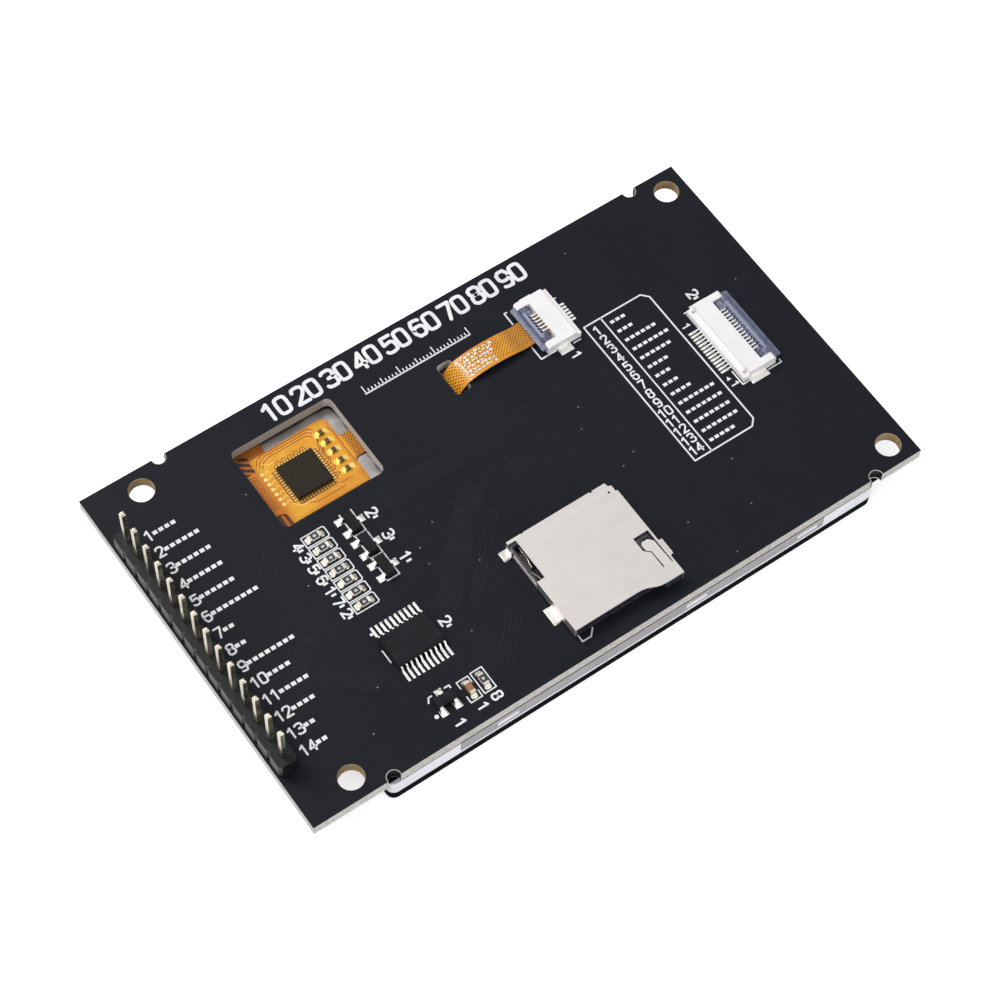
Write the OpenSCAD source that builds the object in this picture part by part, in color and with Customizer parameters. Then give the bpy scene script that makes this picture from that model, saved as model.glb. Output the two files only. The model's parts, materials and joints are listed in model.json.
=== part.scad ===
// Display module with touch glass: a circuit board that carries a pin header, a memory card
// socket and two flat-cable connectors, with a backlit display and its touch glass behind it.
// Millimetres, Z up. The touch glass faces down and lies on z = 0, and the components are
// on top. X runs from the pin header to the spare cable connector, and Y across the board.
// x = y = 0 is the middle of the board.

/* [Board] */
// Length of the circuit board
board_l = 86; // [70:1:120]
// Width of the circuit board
board_w = 50; // [48:0.5:70]
// Thickness of the circuit board
board_t = 1.6; // [1:0.1:2]
// Diameter of the four screw holes
screw_hole_d = 3.2; // [2.2:0.1:3.6]
// From the long edges to the centres of the screw holes
screw_edge = 2.8; // [2.2:0.1:4]
// From the connector end to its two screw hole centres
screw_right = 2.8; // [2.2:0.1:4]
// From the header end to its two screw hole centres
screw_left = 6.8; // [5.4:0.1:8]
// Diameter of the half-round notches in the long edges
notch_d = 1.7; // [1:0.1:2.4]

/* [Window and slot] */
// Length of the window along the board
window_l = 14; // [13:0.1:18]
// Width of the window across the board
window_w = 12.3; // [11.6:0.1:14]
// From the header end to the window
window_left = 17.9; // [16:0.1:22]
// From the upper long edge to the window
window_top = 4.3; // [3:0.1:5]
// Corner radius of the window
window_r = 0.8; // [0.3:0.1:2]
// Length of the slot across the board
slot_w = 4.85; // [4:0.05:7]
// Opening of the slot along the board
slot_l = 2.1; // [2:0.1:3]
// From the window to the middle of the slot
slot_gap = 13.9; // [10:0.1:18]

/* [Display and touch glass] */
// From the header end of the board to the display
panel_left = 10.2; // [9:0.1:13]
// From the connector end of the board to the display
panel_right = 6.6; // [5.8:0.1:10]
// Thickness of the cover glass
cover_t = 0.7; // [0.5:0.05:1.5]
// Thickness of the touch sensor with its adhesive
sensor_t = 0.6; // [0.4:0.05:1]
// Thickness of the gasket tape between sensor and display
gasket_t = 0.2; // [0.1:0.05:0.5]
// Thickness of the display, frame and back plate together
display_t = 2.35; // [2.2:0.05:3.2]
// Thickness of the mounting tape between display and board
tape_t = 0.35; // [0.3:0.05:0.8]
// Sheet thickness of the back plate
plate_t = 0.15; // [0.1:0.01:0.25]
// Length of white frame left bare at the header end
bare_left = 9.5; // [7:0.1:14]
// Length of white frame left bare at the connector end
bare_right = 7.7; // [5:0.1:12]
// Length of the snap windows in the back plate's sides
snap_l = 3.1; // [2:0.1:5]
// Thickness of the flexible circuits
flex_t = 0.12; // [0.08:0.01:0.14]
// Width of the touch circuit's tail
tail_w = 3.5; // [3:0.1:4.5]

/* [Pin header] */
// Number of pins
pin_count = 14; // [4:1:14]
// Pitch of the pins
pin_pitch = 2.54; // [2:0.01:2.54]
// Width of the square pins
pin_w = 0.64; // [0.4:0.02:0.64]
// Height of the pins above the plastic strip
pin_up = 6.1; // [3:0.1:12]
// Length of the pins below the board
pin_down = 1.45; // [0.8:0.05:2.6]
// Width of the plastic strip
strip_w = 2.5; // [1.8:0.02:2.54]
// Height of the plastic strip
strip_h = 2.54; // [1.5:0.02:3]
// From the header end of the board to the row of pins
pin_left = 1.5; // [1.4:0.05:2]
// Diameter of the plated holes for the pins
pin_hole_d = 1.02; // [0.9:0.02:1.2]

/* [Cable connectors] */
// Ways of the touch cable connector
touch_ways = 6; // [4:1:8]
// Ways of the spare cable connector
spare_ways = 14; // [6:1:18]
// Pitch of the contacts
way_pitch = 0.5; // [0.5:0.1:1]
// Height of the connector housings
conn_h = 1.5; // [1.45:0.05:2.2]
// From the slot to the mouth of the touch cable connector
touch_reach = 11.3; // [10:0.1:14]
// From the connector end of the board to the mouth of the spare connector
spare_right = 6.95; // [6:0.05:9]

/* [Card socket] */
// Width of the shell
socket_w = 14.8; // [14.6:0.1:17]
// Depth of the shell
socket_d = 13.85; // [13.6:0.05:17]
// Height of the shell
socket_h = 1.85; // [1.75:0.05:2.4]
// Sheet thickness of the shell
shell_t = 0.15; // [0.1:0.01:0.2]
// From the lower long edge of the board to the shell's mouth
socket_edge = 2.85; // [2:0.05:6]
// Width of the card that fits
card_w = 11; // [10:0.1:11.2]
// Push travel of the slider
slider_travel = 1.6; // [0.8:0.1:1.8]

/* [Small parts] */
// Number of resistors in the ladder
ladder_count = 7; // [1:1:7]
// Spacing of the resistors in the ladder
ladder_pitch = 1.735; // [1.5:0.005:2]
// Number of transistors beside the ladder
transistor_count = 3; // [1:1:3]
// Spacing of the transistors
transistor_pitch = 3.5; // [3.2:0.05:5]

/* [Hidden] */

function pin_name(i) = str("header_pin_", i < 10 ? "0" : "", i);

// Levels, from the face of the touch glass up
sensor_z = cover_t;
gasket_z = sensor_z + sensor_t;
display_z = gasket_z + gasket_t;
back_z = display_z + display_t;
board_z = back_z + tape_t;
top_z = board_z + board_t;

// Edges of the board and of the display, lowest first
board_x = [-board_l / 2, board_l / 2];
board_y = [-board_w / 2, board_w / 2];
panel_x = [board_x[0] + panel_left, board_x[1] - panel_right];
panel_cx = (panel_x[0] + panel_x[1]) / 2;
band_x = [panel_x[0] + bare_left, panel_x[1] - bare_right];

// Screw holes and the notches beside them
screw_x = [board_x[0] + screw_left, board_x[1] - screw_right];
screw_y = board_w / 2 - screw_edge;
notch_x = [panel_x[0] + 0.55, panel_x[1] - 0.1];
notch_in = 0.15;

// Window, slot and the line that the touch circuit's tail follows
window_x = [board_x[0] + window_left, board_x[0] + window_left + window_l];
window_y = [board_y[1] - window_top - window_w, board_y[1] - window_top];
tail_y = (window_y[0] + window_y[1]) / 2;
slot_x = window_x[1] + slot_gap;
slot_r = 0.5;

// Pin header
pin_x = board_x[0] + pin_left;
pin_row_y = -0.2;
pin_tip = 0.2;
pin_fit = 0.01;

// Cable connectors
touch_x = slot_x + touch_reach;
spare_x = board_x[1] - spare_right;
spare_y = 0.25;

// Card socket
socket_x = panel_cx - socket_w / 2;
socket_y = board_y[0] + socket_edge;

// Flexible circuits: the display's lies on the back plate, the touch circuit's on top of it
flex_gap = 0.02;
display_flex_z = back_z + flex_gap;
touch_flex_z = display_flex_z + flex_t;
touch_flex_top = touch_flex_z + flex_t;
// Under the touch circuit's tongue, which lies in a pocket of the touch sensor
tongue_z = sensor_z;

// Small parts hang from the window's lower edge or stand off the lower long edge
ladder_x = window_x[0] + 2.15;
ladder_y = window_y[0] - 2.85;
transistor_x = window_x[0] + 6.75;
transistor_y = window_y[0] - 3.75;
chip_at = [window_x[0] + 3.9, board_y[0] + 13];
regulator_at = [window_x[0] + 2.8, board_y[0] + 4.7];
capacitor_at = [window_x[0] + 5.9, board_y[0] + 4.3];
resistor_8_at = [window_x[0] + 7.83, board_y[0] + 4.4];

// Touch controller and the parts round it, on the touch circuit
touch_chip_w = 4.9;
touch_chip_h = 0.75;
touch_chip_at = [window_x[0] + 6.25, tail_y - 0.55];
flex_part_x = window_x[0] + 10.95;
flex_part_dy = [3.3, 1.9, 0.45, -1.15, -2.55];
flex_part_size = [1, 0.5, 0.35];

// ---- Curves and outlines ----

// Points on an arc about c, from angle a0 to a1
function arc(c, r, a0, a1, n = 6) =
    [for (i = [0:n]) let (a = a0 + (a1 - a0) * i / n) c + r * [cos(a), sin(a)]];

// Points on a cubic curve from p[0] to p[3], with handles p[1] and p[2]
function curve(p, n = 8) =
    [for (i = [0:n]) let (s = i / n, u = 1 - s)
        u * u * u * p[0] + 3 * u * u * s * p[1] + 3 * u * s * s * p[2] + s * s * s * p[3]];

// A list without its first point, for joining curves end to end
function rest(p) = [for (i = [1:len(p) - 1]) p[i]];

function unit(v) = v / norm(v);
function left_of(v) = [-v[1], v[0]];

// From point i of the line p to the edge of a strip one unit to its left, mitred at corners
function mitre(p, i) =
    let (last = len(p) - 1,
         before = unit(i == 0 ? p[1] - p[0] : p[i] - p[i - 1]),
         after = unit(i == last ? p[last] - p[last - 1] : p[i + 1] - p[i]),
         m = unit(left_of(before) + left_of(after)))
    m / (m * left_of(before));

// Outline of a strip of thickness t, centred on the line p
function strip(p, t) = concat(
    [for (i = [0:len(p) - 1]) p[i] + mitre(p, i) * t / 2],
    [for (i = [len(p) - 1:-1:0]) p[i] - mitre(p, i) * t / 2]);

// Outline of a rectangle between the limits x and y, with corners of radius r
function rounded(x, y, r) = concat(
    arc([x[1] - r, y[1] - r], r, 0, 90, 4), arc([x[0] + r, y[1] - r], r, 90, 180, 4),
    arc([x[0] + r, y[0] + r], r, 180, 270, 4), arc([x[1] - r, y[0] + r], r, 270, 360, 4));

// A limit pair drawn in by d at both ends
function inset(v, d) = [v[0] + d, v[1] - d];
// The limits of a length w about the middle c
function about(c, w) = [c - w / 2, c + w / 2];

// ---- Basic solids ----

// A block between the limits x, y and z
module block(x, y, z) {
    translate([x[0], y[0], z[0]]) cube([x[1] - x[0], y[1] - y[0], z[1] - z[0]]);
}

// A flat outline in x and z, drawn out along Y by w about y = 0
module along_y(w) {
    translate([0, w / 2, 0]) rotate([90, 0, 0]) linear_extrude(w) children();
}

// A flat outline in y and z, drawn out along X by w about x = 0
module along_x(w) {
    translate([-w / 2, 0, 0]) rotate([90, 0, 90]) linear_extrude(w) children();
}

// A flat outline in x and y, between two levels
module sheet(z) {
    translate([0, 0, z[0]]) linear_extrude(z[1] - z[0]) children();
}

// A moulded package body. Its four sides lean in above and below a flat band,
// where the leads come out.
module package(l, w, z, band, draft) {
    mid = (z[0] + z[1]) / 2;
    function section(s) =
        [[s / 2 - draft, z[0]], [s / 2, mid - band / 2], [s / 2, mid + band / 2],
         [s / 2 - draft, z[1]], [draft - s / 2, z[1]], [-s / 2, mid + band / 2],
         [-s / 2, mid - band / 2], [draft - s / 2, z[0]]];
    intersection() {
        along_y(w) polygon(section(l));
        along_x(l) polygon(section(w));
    }
}

// A gull-wing lead along +X: out of the body at x = root, down, and flat to x = end
module gull_lead(root, end, level, w, t, foot) {
    along_y(w) polygon(strip(
        [[root, level], [root + 0.16, level], [end - foot, t / 2], [end, t / 2]], t));
}

// A chip resistor or capacitor along X, with its two end caps
module chip_part(l, w, h, cap) {
    skin = 0.02;
    block(about(0, l - 2 * skin), about(0, w - 2 * skin), [skin, h - skin]);
    for (s = [-1, 1])
        block(about(s * (l - cap) / 2, cap), about(0, w), [0, h]);
}

// ---- Board and pin header ----

module pcb() {
    module drill(at, d) {
        translate([at[0], at[1], board_z - 1]) cylinder(d = d, h = board_t + 2, $fn = 48);
    }
    color("#25282e") difference() {
        block(board_x, board_y, [board_z, top_z]);
        for (x = screw_x, s = [-1, 1]) drill([x, s * screw_y], screw_hole_d);
        for (x = notch_x, s = [-1, 1]) drill([x, s * (board_w / 2 - notch_in)], notch_d);
        for (i = [1:pin_count]) drill([pin_x, pin_y(i)], pin_hole_d);
        sheet([board_z - 1, top_z + 1]) {
            polygon(rounded(window_x, window_y, window_r));
            polygon(rounded(about(slot_x, slot_l), about(tail_y, slot_w), slot_r));
        }
    }
}

// Pins are counted from the upper long edge
function pin_y(i) = pin_row_y + ((pin_count + 1) / 2 - i) * pin_pitch;

// The strip is notched between its positions, so that it can be snapped to length
module header_strip() {
    notch = 0.36;
    half = pin_pitch / 2;
    side = [for (i = [pin_count:-1:1]) each
        [[strip_w / 2 - notch, pin_y(i) - half], [strip_w / 2, pin_y(i) - half + notch],
         [strip_w / 2, pin_y(i) + half - notch], [strip_w / 2 - notch, pin_y(i) + half]]];
    other = [for (i = [len(side) - 1:-1:0]) [-side[i][0], side[i][1]]];
    color("#1c1d20") translate([pin_x, 0, top_z]) linear_extrude(strip_h) difference() {
        polygon(concat(side, other));
        for (i = [1:pin_count])
            translate([0, pin_y(i)]) square(pin_w + 2 * pin_fit, center = true);
    }
}

// A square pin with both tips tapered on all four sides
module header_pin(i) {
    z = [board_z - pin_down, top_z + strip_h + pin_up];
    h = pin_w / 2;
    outline = [[pin_tip - h, z[0]], [h - pin_tip, z[0]], [h, z[0] + 2 * pin_tip],
               [h, z[1] - 2 * pin_tip], [h - pin_tip, z[1]], [pin_tip - h, z[1]],
               [-h, z[1] - 2 * pin_tip], [-h, z[0] + 2 * pin_tip]];
    color("#d6ccb0") translate([pin_x, pin_y(i), 0]) intersection() {
        along_y(pin_w) polygon(outline);
        along_x(pin_w) polygon(outline);
    }
}

// ---- Small parts ----

resistor_size = [1.6, 0.8, 0.45];
capacitor_size = [1.6, 0.8, 0.7];
cap_l = 0.32;

module resistor(i) {
    ladder = i <= ladder_count;
    at = ladder ? [ladder_x, ladder_y - ladder_pitch * (i - 1)] : resistor_8_at;
    color("#2b2d31") translate([at[0], at[1], top_z]) rotate([0, 0, ladder ? 0 : 90])
        chip_part(resistor_size[0], resistor_size[1], resistor_size[2], cap_l);
}

module capacitor() {
    color("#a98a63") translate([capacitor_at[0], capacitor_at[1], top_z]) rotate([0, 0, 90])
        chip_part(capacitor_size[0], capacitor_size[1], capacitor_size[2], cap_l);
}

// Three-lead package: long side along Y, two leads on the -X side and one on the +X side
sot_l = 2.9;
sot_w = 1.3;
sot_z = [0.05, 1.05];
sot_lead_t = 0.13;
sot_lead_w = 0.42;
sot_span = 2.4;
sot_pitch = 1.9;

module sot_body() {
    package(sot_w, sot_l, sot_z, sot_lead_t + 0.05, 0.13);
}

module sot_leads() {
    module lead() {
        gull_lead(sot_w / 2, sot_span / 2, (sot_z[0] + sot_z[1]) / 2, sot_lead_w, sot_lead_t, 0.3);
    }
    lead();
    for (s = [-1, 1]) translate([0, s * sot_pitch / 2, 0]) rotate([0, 0, 180]) lead();
}

module at_transistor(i) {
    translate([transistor_x, transistor_y - transistor_pitch * (i - 1), top_z]) children();
}

module transistor(i) {
    color("#26272b") at_transistor(i) sot_body();
}

module transistor_leads() {
    color("#c9ccd0") for (i = [1:transistor_count]) at_transistor(i) sot_leads();
}

module at_regulator() {
    translate([regulator_at[0], regulator_at[1], top_z]) rotate([0, 0, 90]) children();
}

module regulator() {
    color("#26272b") at_regulator() sot_body();
}

module regulator_leads() {
    color("#c9ccd0") at_regulator() sot_leads();
}

// Twenty-lead package, leads on both long sides
chip_l = 6.5;
chip_w = 4.4;
chip_z = [0.08, 1.05];
chip_span = 6.4;
chip_leads = 20;
chip_pitch = 0.65;
chip_lead_w = 0.24;
chip_lead_t = 0.13;

module logic_chip() {
    color("#26272b") translate([chip_at[0], chip_at[1], top_z])
        package(chip_l, chip_w, chip_z, chip_lead_t + 0.05, 0.12);
}

module logic_chip_leads() {
    per_side = chip_leads / 2;
    color("#c9ccd0") translate([chip_at[0], chip_at[1], top_z])
        for (i = [1:per_side], turn = [90, -90])
            translate([(i - (per_side + 1) / 2) * chip_pitch, 0, 0]) rotate([0, 0, turn])
                gull_lead(chip_w / 2, chip_span / 2, (chip_z[0] + chip_z[1]) / 2,
                          chip_lead_w, chip_lead_t, 0.55);
}

// ---- Cable connectors ----
// Their own frame: the mouth faces +X, the front faces of the two arms are at x = 0, the
// board is at z = 0 and the contacts are centred on y = 0. The latch's shaft lies in pockets
// in the arms, under the contacts' upper arms.

conn_margin = 5.1;
arm_w = 0.95;
arm_l = 1.7;
arm_chamfer = 0.25;
roof_back = -4.05;
step_back = -4.8;
step_h = 0.9;
conn_floor_z = [0.1, 0.35];
conn_floor_front = 0.3;
cable_z = [conn_floor_z[1], 0.73];
cable_back = -3.6;
contact_w = 0.2;
contact_back = -3.9;
contact_tip = -0.82;
contact_fit = 0.02;
contact_top = conn_h - 0.14;
contact_arm = 0.14;
pivot = [-1.15, conn_h - 0.55];
shaft_r = 0.24;
pocket_r = 0.3;
trunnion_l = 0.3;
latch_gap = 0.05;
latch_over_cable = 0.02;
latch_z = [cable_z[1] + latch_over_cable - pivot[1], 0.3];
comb_end = 0.62;
ridge_x = [0.65, 0.95];
ridge_h = 0.5;
lip_start = 1.25;
lip_inset = 0.35;
nail_t = 0.15;
nail_h = 0.95;

function conn_w(n) = way_pitch * (n - 1) + conn_margin;
function way_y(n, i) = (i - (n + 1) / 2) * way_pitch;

module connector_housing(n, nail_x, corner_pockets) {
    w = conn_w(n);
    roof_front = -arm_l;
    difference() {
        union() {
            along_y(w) polygon([[step_back, 0], [roof_front, 0], [roof_front, conn_h],
                                [roof_back, conn_h], [roof_back, step_h], [step_back, step_h]]);
            for (s = [-1, 1]) translate([0, s * (w - arm_w) / 2, 0]) along_y(arm_w)
                polygon([[roof_front, 0], [0, 0], [0, conn_h - arm_chamfer],
                         [-arm_chamfer, conn_h], [roof_front, conn_h]]);
            block([roof_front, conn_floor_front], about(0, w - 2 * arm_w), conn_floor_z);
        }
        block([cable_back, roof_front], about(0, way_pitch * (n + 1) + 0.1), cable_z);
        for (i = [1:n]) translate([0, way_y(n, i), 0]) {
            block([contact_back - 0.05, -1.25], about(0, contact_w + 2 * contact_fit),
                  [conn_floor_z[0], contact_top + contact_fit]);
            block([step_back - 1, cable_back + contact_fit],
                  about(0, contact_w + 2 * contact_fit), [-1, nail_t + contact_fit]);
        }
        for (s = [-1, 1]) {
            translate([pivot[0], s * (w / 2 - arm_w), pivot[1]]) rotate([90, 0, 0])
                cylinder(r = pocket_r, h = 2 * (trunnion_l + latch_gap), center = true, $fn = 32);
            for (part = nail_parts(w, nail_x, 1))
                mirror([0, s < 0 ? 1 : 0, 0]) block(part[0], part[1], part[2]);
        }
        if (corner_pockets) for (s = [-1, 1])
            block([roof_back - 0.4, roof_back + 0.2], about(s * (w / 2 - 0.65), 0.6), [0.5, conn_h + 1]);
    }
}

// A solder nail is a foot on the board and an upright in the side of the housing
function nail_parts(w, x, out) =
    [[x, [w / 2 - nail_t, w / 2 + out], [0, nail_t]],
     [inset(x, 0.2), [w / 2 - nail_t, w / 2], [0, nail_h]]];

module connector_terminals(n, nail_x, nail_out, tail) {
    w = conn_w(n);
    lower = 0.12;
    upper = contact_top - contact_arm;
    for (i = [1:n]) translate([0, way_y(n, i), 0]) along_y(contact_w)
        polygon([[-tail, 0], [cable_back, 0], [cable_back, lower], [-1.3, lower], [-1.3, 0.22],
                 [-1.5, 0.36], [-1.8, lower + 0.15], [cable_back, lower + 0.15],
                 [cable_back, upper], [contact_tip - 0.18, upper], [contact_tip - 0.11, upper - 0.1],
                 [contact_tip, upper - 0.1], [contact_tip, contact_top],
                 [contact_back, contact_top], [contact_back, nail_t], [-tail, nail_t]]);
    for (s = [0, 1], part = nail_parts(w, nail_x, nail_out))
        mirror([0, s, 0]) block(part[0], part[1], part[2]);
}

// The latch in its closed place: a plate over the cable, combed round the contacts'
// upper arms, with a ridge for the fingernail and a wider lip in front of the arms
module connector_latch(n, lip) {
    w = conn_w(n);
    inner = w - 2 * (arm_w + latch_gap);
    end = lip - pivot[0];
    translate([pivot[0], 0, pivot[1]]) {
        rotate([90, 0, 0]) cylinder(r = shaft_r, h = inner + 2 * (trunnion_l + latch_gap),
                                    center = true, $fn = 32);
        difference() {
            along_y(inner) polygon([[0, latch_z[0]], [lip_start + 0.1, latch_z[0]],
                [lip_start + 0.1, latch_z[1]], [ridge_x[1] + 0.08, latch_z[1]],
                [ridge_x[1], ridge_h], [ridge_x[0], ridge_h], [ridge_x[0], latch_z[1]],
                [0, latch_z[1]]]);
            for (i = [1:n]) block([0, comb_end], about(way_y(n, i), contact_w + 2 * latch_gap), [-1, 1]);
        }
        along_y(w - 2 * lip_inset) polygon([[lip_start, latch_z[0]], [end - 0.1, latch_z[0]],
            [end, latch_z[0] + 0.12], [end, latch_z[1] - 0.22], [lip_start, latch_z[1]]]);
    }
}

touch_nail_x = [-3.05, -1.4];
touch_nail_out = 0.8;
touch_tail = 5.4;
touch_lip = 0.7;
spare_nail_x = [-3.9, -1.45];
spare_nail_out = 0.7;
spare_tail = 5.9;
spare_lip = 0.95;

module at_touch_connector() {
    translate([touch_x, tail_y, top_z]) rotate([0, 0, 180]) children();
}

module at_spare_connector() {
    translate([spare_x, spare_y, top_z]) children();
}

module touch_connector_housing() {
    color("#dcd8cc") at_touch_connector() connector_housing(touch_ways, touch_nail_x, false);
}

module touch_connector_terminals() {
    color("#c9ccd0") at_touch_connector()
        connector_terminals(touch_ways, touch_nail_x, touch_nail_out, touch_tail);
}

module touch_connector_latch() {
    color("#545c66") at_touch_connector() connector_latch(touch_ways, touch_lip);
}

module spare_connector_housing() {
    color("#dcd8cc") at_spare_connector() connector_housing(spare_ways, spare_nail_x, true);
}

module spare_connector_terminals() {
    color("#c9ccd0") at_spare_connector()
        connector_terminals(spare_ways, spare_nail_x, spare_nail_out, spare_tail);
}

module spare_connector_latch() {
    color("#545c66") at_spare_connector() connector_latch(spare_ways, spare_lip);
}

// ---- Card socket ----
// Its own frame: x = 0 and y = 0 are the shell's left edge and its mouth, the board is z = 0.
// A card comes in along +Y and pushes the slider's hook. On the way back, the link's tip
// catches in the slider's heart-shaped track and holds the card in. The shell's lance keeps
// the link down in the track.

card_path_x = [1.35, 1.35 + card_w + 0.1];
base_fit = 0.02;
base_x = [shell_t + base_fit, socket_w - shell_t - base_fit];
base_floor = 0.4;
base_roof = socket_h - shell_t - 0.04;
base_step = 1.75;
rear_wall_y = [socket_d - 1.15, socket_d - 0.45];
leaf_root = socket_d - 0.9;
leaf_z = [0.55, 1.15];
side_wall = 0.13;
shell_lip = 0.85;
left_cut_y = [socket_d - 6.25, socket_d - 0.4];
lock_x = socket_w - 1.2;
slider_x = [card_path_x[1] + 0.15, base_x[1] - side_wall - 0.1];
slider_y = [0.9, 8.2];
slider_z = [base_floor + 0.05, base_roof - 0.21];
spring_x = lock_x - 0.1;
spring_z = 1;
spring_wire = 0.1;
spring_r = 0.37;
link_d = 0.28;
link_y = [0.3, 5];
link_z = slider_z[1] - 0.12;
track_floor = link_z - 0.23;
track_end = 0.4;
over = socket_h + 1;
socket_tabs = [[[-0.9, shell_t], [socket_d - 1.15, socket_d]], [[-0.9, shell_t], [2.7, 4.85]],
               [[socket_w - shell_t, socket_w + 1.1], [2.7, 4.8]]];

module at_socket() {
    translate([socket_x, socket_y, top_z]) children();
}

module card_socket_shell() {
    w = socket_w;
    d = socket_d;
    top = [socket_h - shell_t, socket_h];
    wall_z = [base_floor + 0.05, socket_h];
    mouth = curve([[w - 6, 0], [w - 4.2, 0], [w - 4.2, -shell_lip], [w - 2.4, -shell_lip]], 6);
    plan = concat([[0, 0]], mouth, [[w, -shell_lip], [w, d - 1.6], [w - 0.25, d - 1.55],
                  [w - 0.25, d - 0.7], [w - 0.65, d - 0.55], [w - 0.75, d], [0, d]]);
    color("#cfcabb") at_socket() {
        difference() {
            union() {
                sheet(top) polygon(plan);
                block([0, shell_t], [0, d], wall_z);
                block([w - shell_t, w], [-shell_lip, d - 1.6], wall_z);
                block([0, w - 0.75], [d - shell_t, d], [0.8, socket_h]);
            }
            // Side opening over the card-detect leaves
            block([-1, 1.1], left_cut_y, [0, over]);
            // Opening over the lock
            sheet([top[0] - 0.5, top[1] + 1]) polygon([
                [card_path_x[1], 5.95], [card_path_x[1], 4], [w - 1.65, 3.35], [w - 1.65, 1],
                [w - 0.25, 1], [w - 0.25, 5.95]]);
            translate([w - 1.03, d - 1.3, 0]) cylinder(d = 0.3, h = over, $fn = 24);
            block([2.1, 2.4], [d - 0.08, d + 1], [0, over]);
            block([w - 2.95, w - 2.6], [d - shell_t, d + 1], [0, over]);
        }
        // Low band and legs of the left wall, and the solder tabs
        block([0, shell_t], [left_cut_y[0] - 0.1, left_cut_y[1] - 1.15], [0.25, 0.85]);
        block([0, shell_t], [left_cut_y[0] - 0.1, left_cut_y[0]], [0.25, socket_h]);
        block([0, shell_t], socket_tabs[0][1], [0, 0.85]);
        for (tab = socket_tabs) {
            block(tab[0], tab[1], [0, shell_t]);
            block(about(tab[0][0] < 0 ? shell_t / 2 : w - shell_t / 2, shell_t), tab[1], [0, wall_z[0]]);
        }
        // Lance that leans down onto the link
        drop = asin((top[0] - link_z - link_d / 2 - 0.03) / (link_y[1] - 0.9));
        translate([0, 0.9, top[0]]) rotate([-drop, 0, 0]) sheet([0, shell_t]) polygon([
            [w - 1.48, 0], [w - 0.38, 0], [w - 0.4, 3.6], [w - 0.9, 4.2], [w - 1.75, 4.2],
            [w - 2, 3.8], [w - 1.95, 3], [w - 1.48, 2.55]]);
    }
}

module card_socket_base() {
    w = socket_w;
    roof = [0, base_roof];
    corner_x = w - 0.8;
    color("#33303a") at_socket() difference() {
        union() {
            block(base_x, [0.1, socket_d - base_step], [0, base_floor]);
            block([base_x[0], corner_x], [0.1, rear_wall_y[1]], [0, base_floor]);
            block([base_x[0], card_path_x[0]], [0.1, rear_wall_y[1]], roof);
            block([base_x[0], corner_x], rear_wall_y, roof);
            block([base_x[1] - side_wall, base_x[1]], [0, socket_d - base_step], roof);
            block([card_path_x[1] + 0.05, base_x[1]], [-shell_lip + 0.15, slider_y[0] - 0.1], roof);
        }
        // Channel of the card-detect leaves, and the contacts' ways through the rear wall
        block([base_x[0] + side_wall, card_path_x[0] - 0.15], [left_cut_y[0] - 0.3, leaf_root + 0.05],
              [base_floor + 0.1, over]);
        for (i = [0:7]) block(about(card_contact_x(i), card_contact_w + 0.04),
                              [rear_wall_y[0] - 1, socket_d], [base_floor, base_floor + 0.15]);
        // Seat of the link's fixed end
        translate([lock_x, link_y[0], 0.6]) cylinder(d = link_d + 0.04, h = over, $fn = 24);
        block(about(lock_x, link_d + 0.1), [link_y[0], slider_y[0] + 0.1],
              [link_z - link_d / 2 - 0.05, over]);
    }
}

card_contact_w = 0.5;
card_contact_pitch = 1.1;
card_contact_t = 0.12;
leaf_t = 0.1;
function card_contact_x(i) = card_path_x[0] + 0.95 + card_contact_pitch * i;

module card_socket_contacts() {
    t = card_contact_t;
    rise = base_floor + 0.07;
    rear = rear_wall_y[1];
    color("#d8c890") at_socket() {
        for (i = [0:7]) translate([card_contact_x(i), 0, 0]) along_x(card_contact_w)
            polygon(strip([[rear + 0.95, t / 2], [rear + 0.35, t / 2], [rear + 0.1, rise],
                           [rear - 1.9, rise], [rear - 3.6, 0.95], [rear - 4.2, 0.8]], t));
        // Two card-detect leaves that stand on edge in their channel
        for (leaf = [[0.42, 3.45, 0.9, 5.15], [1.1, 1.95, 0.85, 3.15]])
            sheet(leaf_z) polygon(strip([[leaf[0], leaf_root], [leaf[0], leaf_root - leaf[1]],
                                         [leaf[2], leaf_root - leaf[3]]], leaf_t));
    }
}

// The slider at its front stop
module card_slider() {
    track_w = link_d + 0.22;
    lane = about(lock_x, track_w);
    color("#403d48") at_socket() difference() {
        union() {
            block(slider_x, slider_y, slider_z);
            // Hook behind the card's corner
            block([card_path_x[1] - 0.75, slider_x[0]], [slider_y[1] - 0.9, slider_y[1]],
                  [slider_z[0] + 0.1, 1.3]);
            // Peg in the spring
            translate([spring_x, slider_y[1], spring_z]) rotate([-90, 0, 0])
                cylinder(d = 0.4, h = 0.8, $fn = 24);
        }
        block(lane, [slider_y[0] - 1, link_y[1] + track_end], [link_z - link_d / 2 - 0.09, over]);
        difference() {
            block([lane[0], slider_x[1] - 0.2], [link_y[1] - slider_travel - 0.3, link_y[1] + track_end],
                  [track_floor, over]);
            // Heart that the link's tip goes round
            translate([lane[1] + 0.1, link_y[1] - 0.75]) linear_extrude(4)
                polygon([[-0.04, 0], [0.05, -0.55], [0.12, 0], [0.14, 0.4], [0.05, 0.28], [-0.03, 0.4]]);
        }
    }
}

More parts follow.
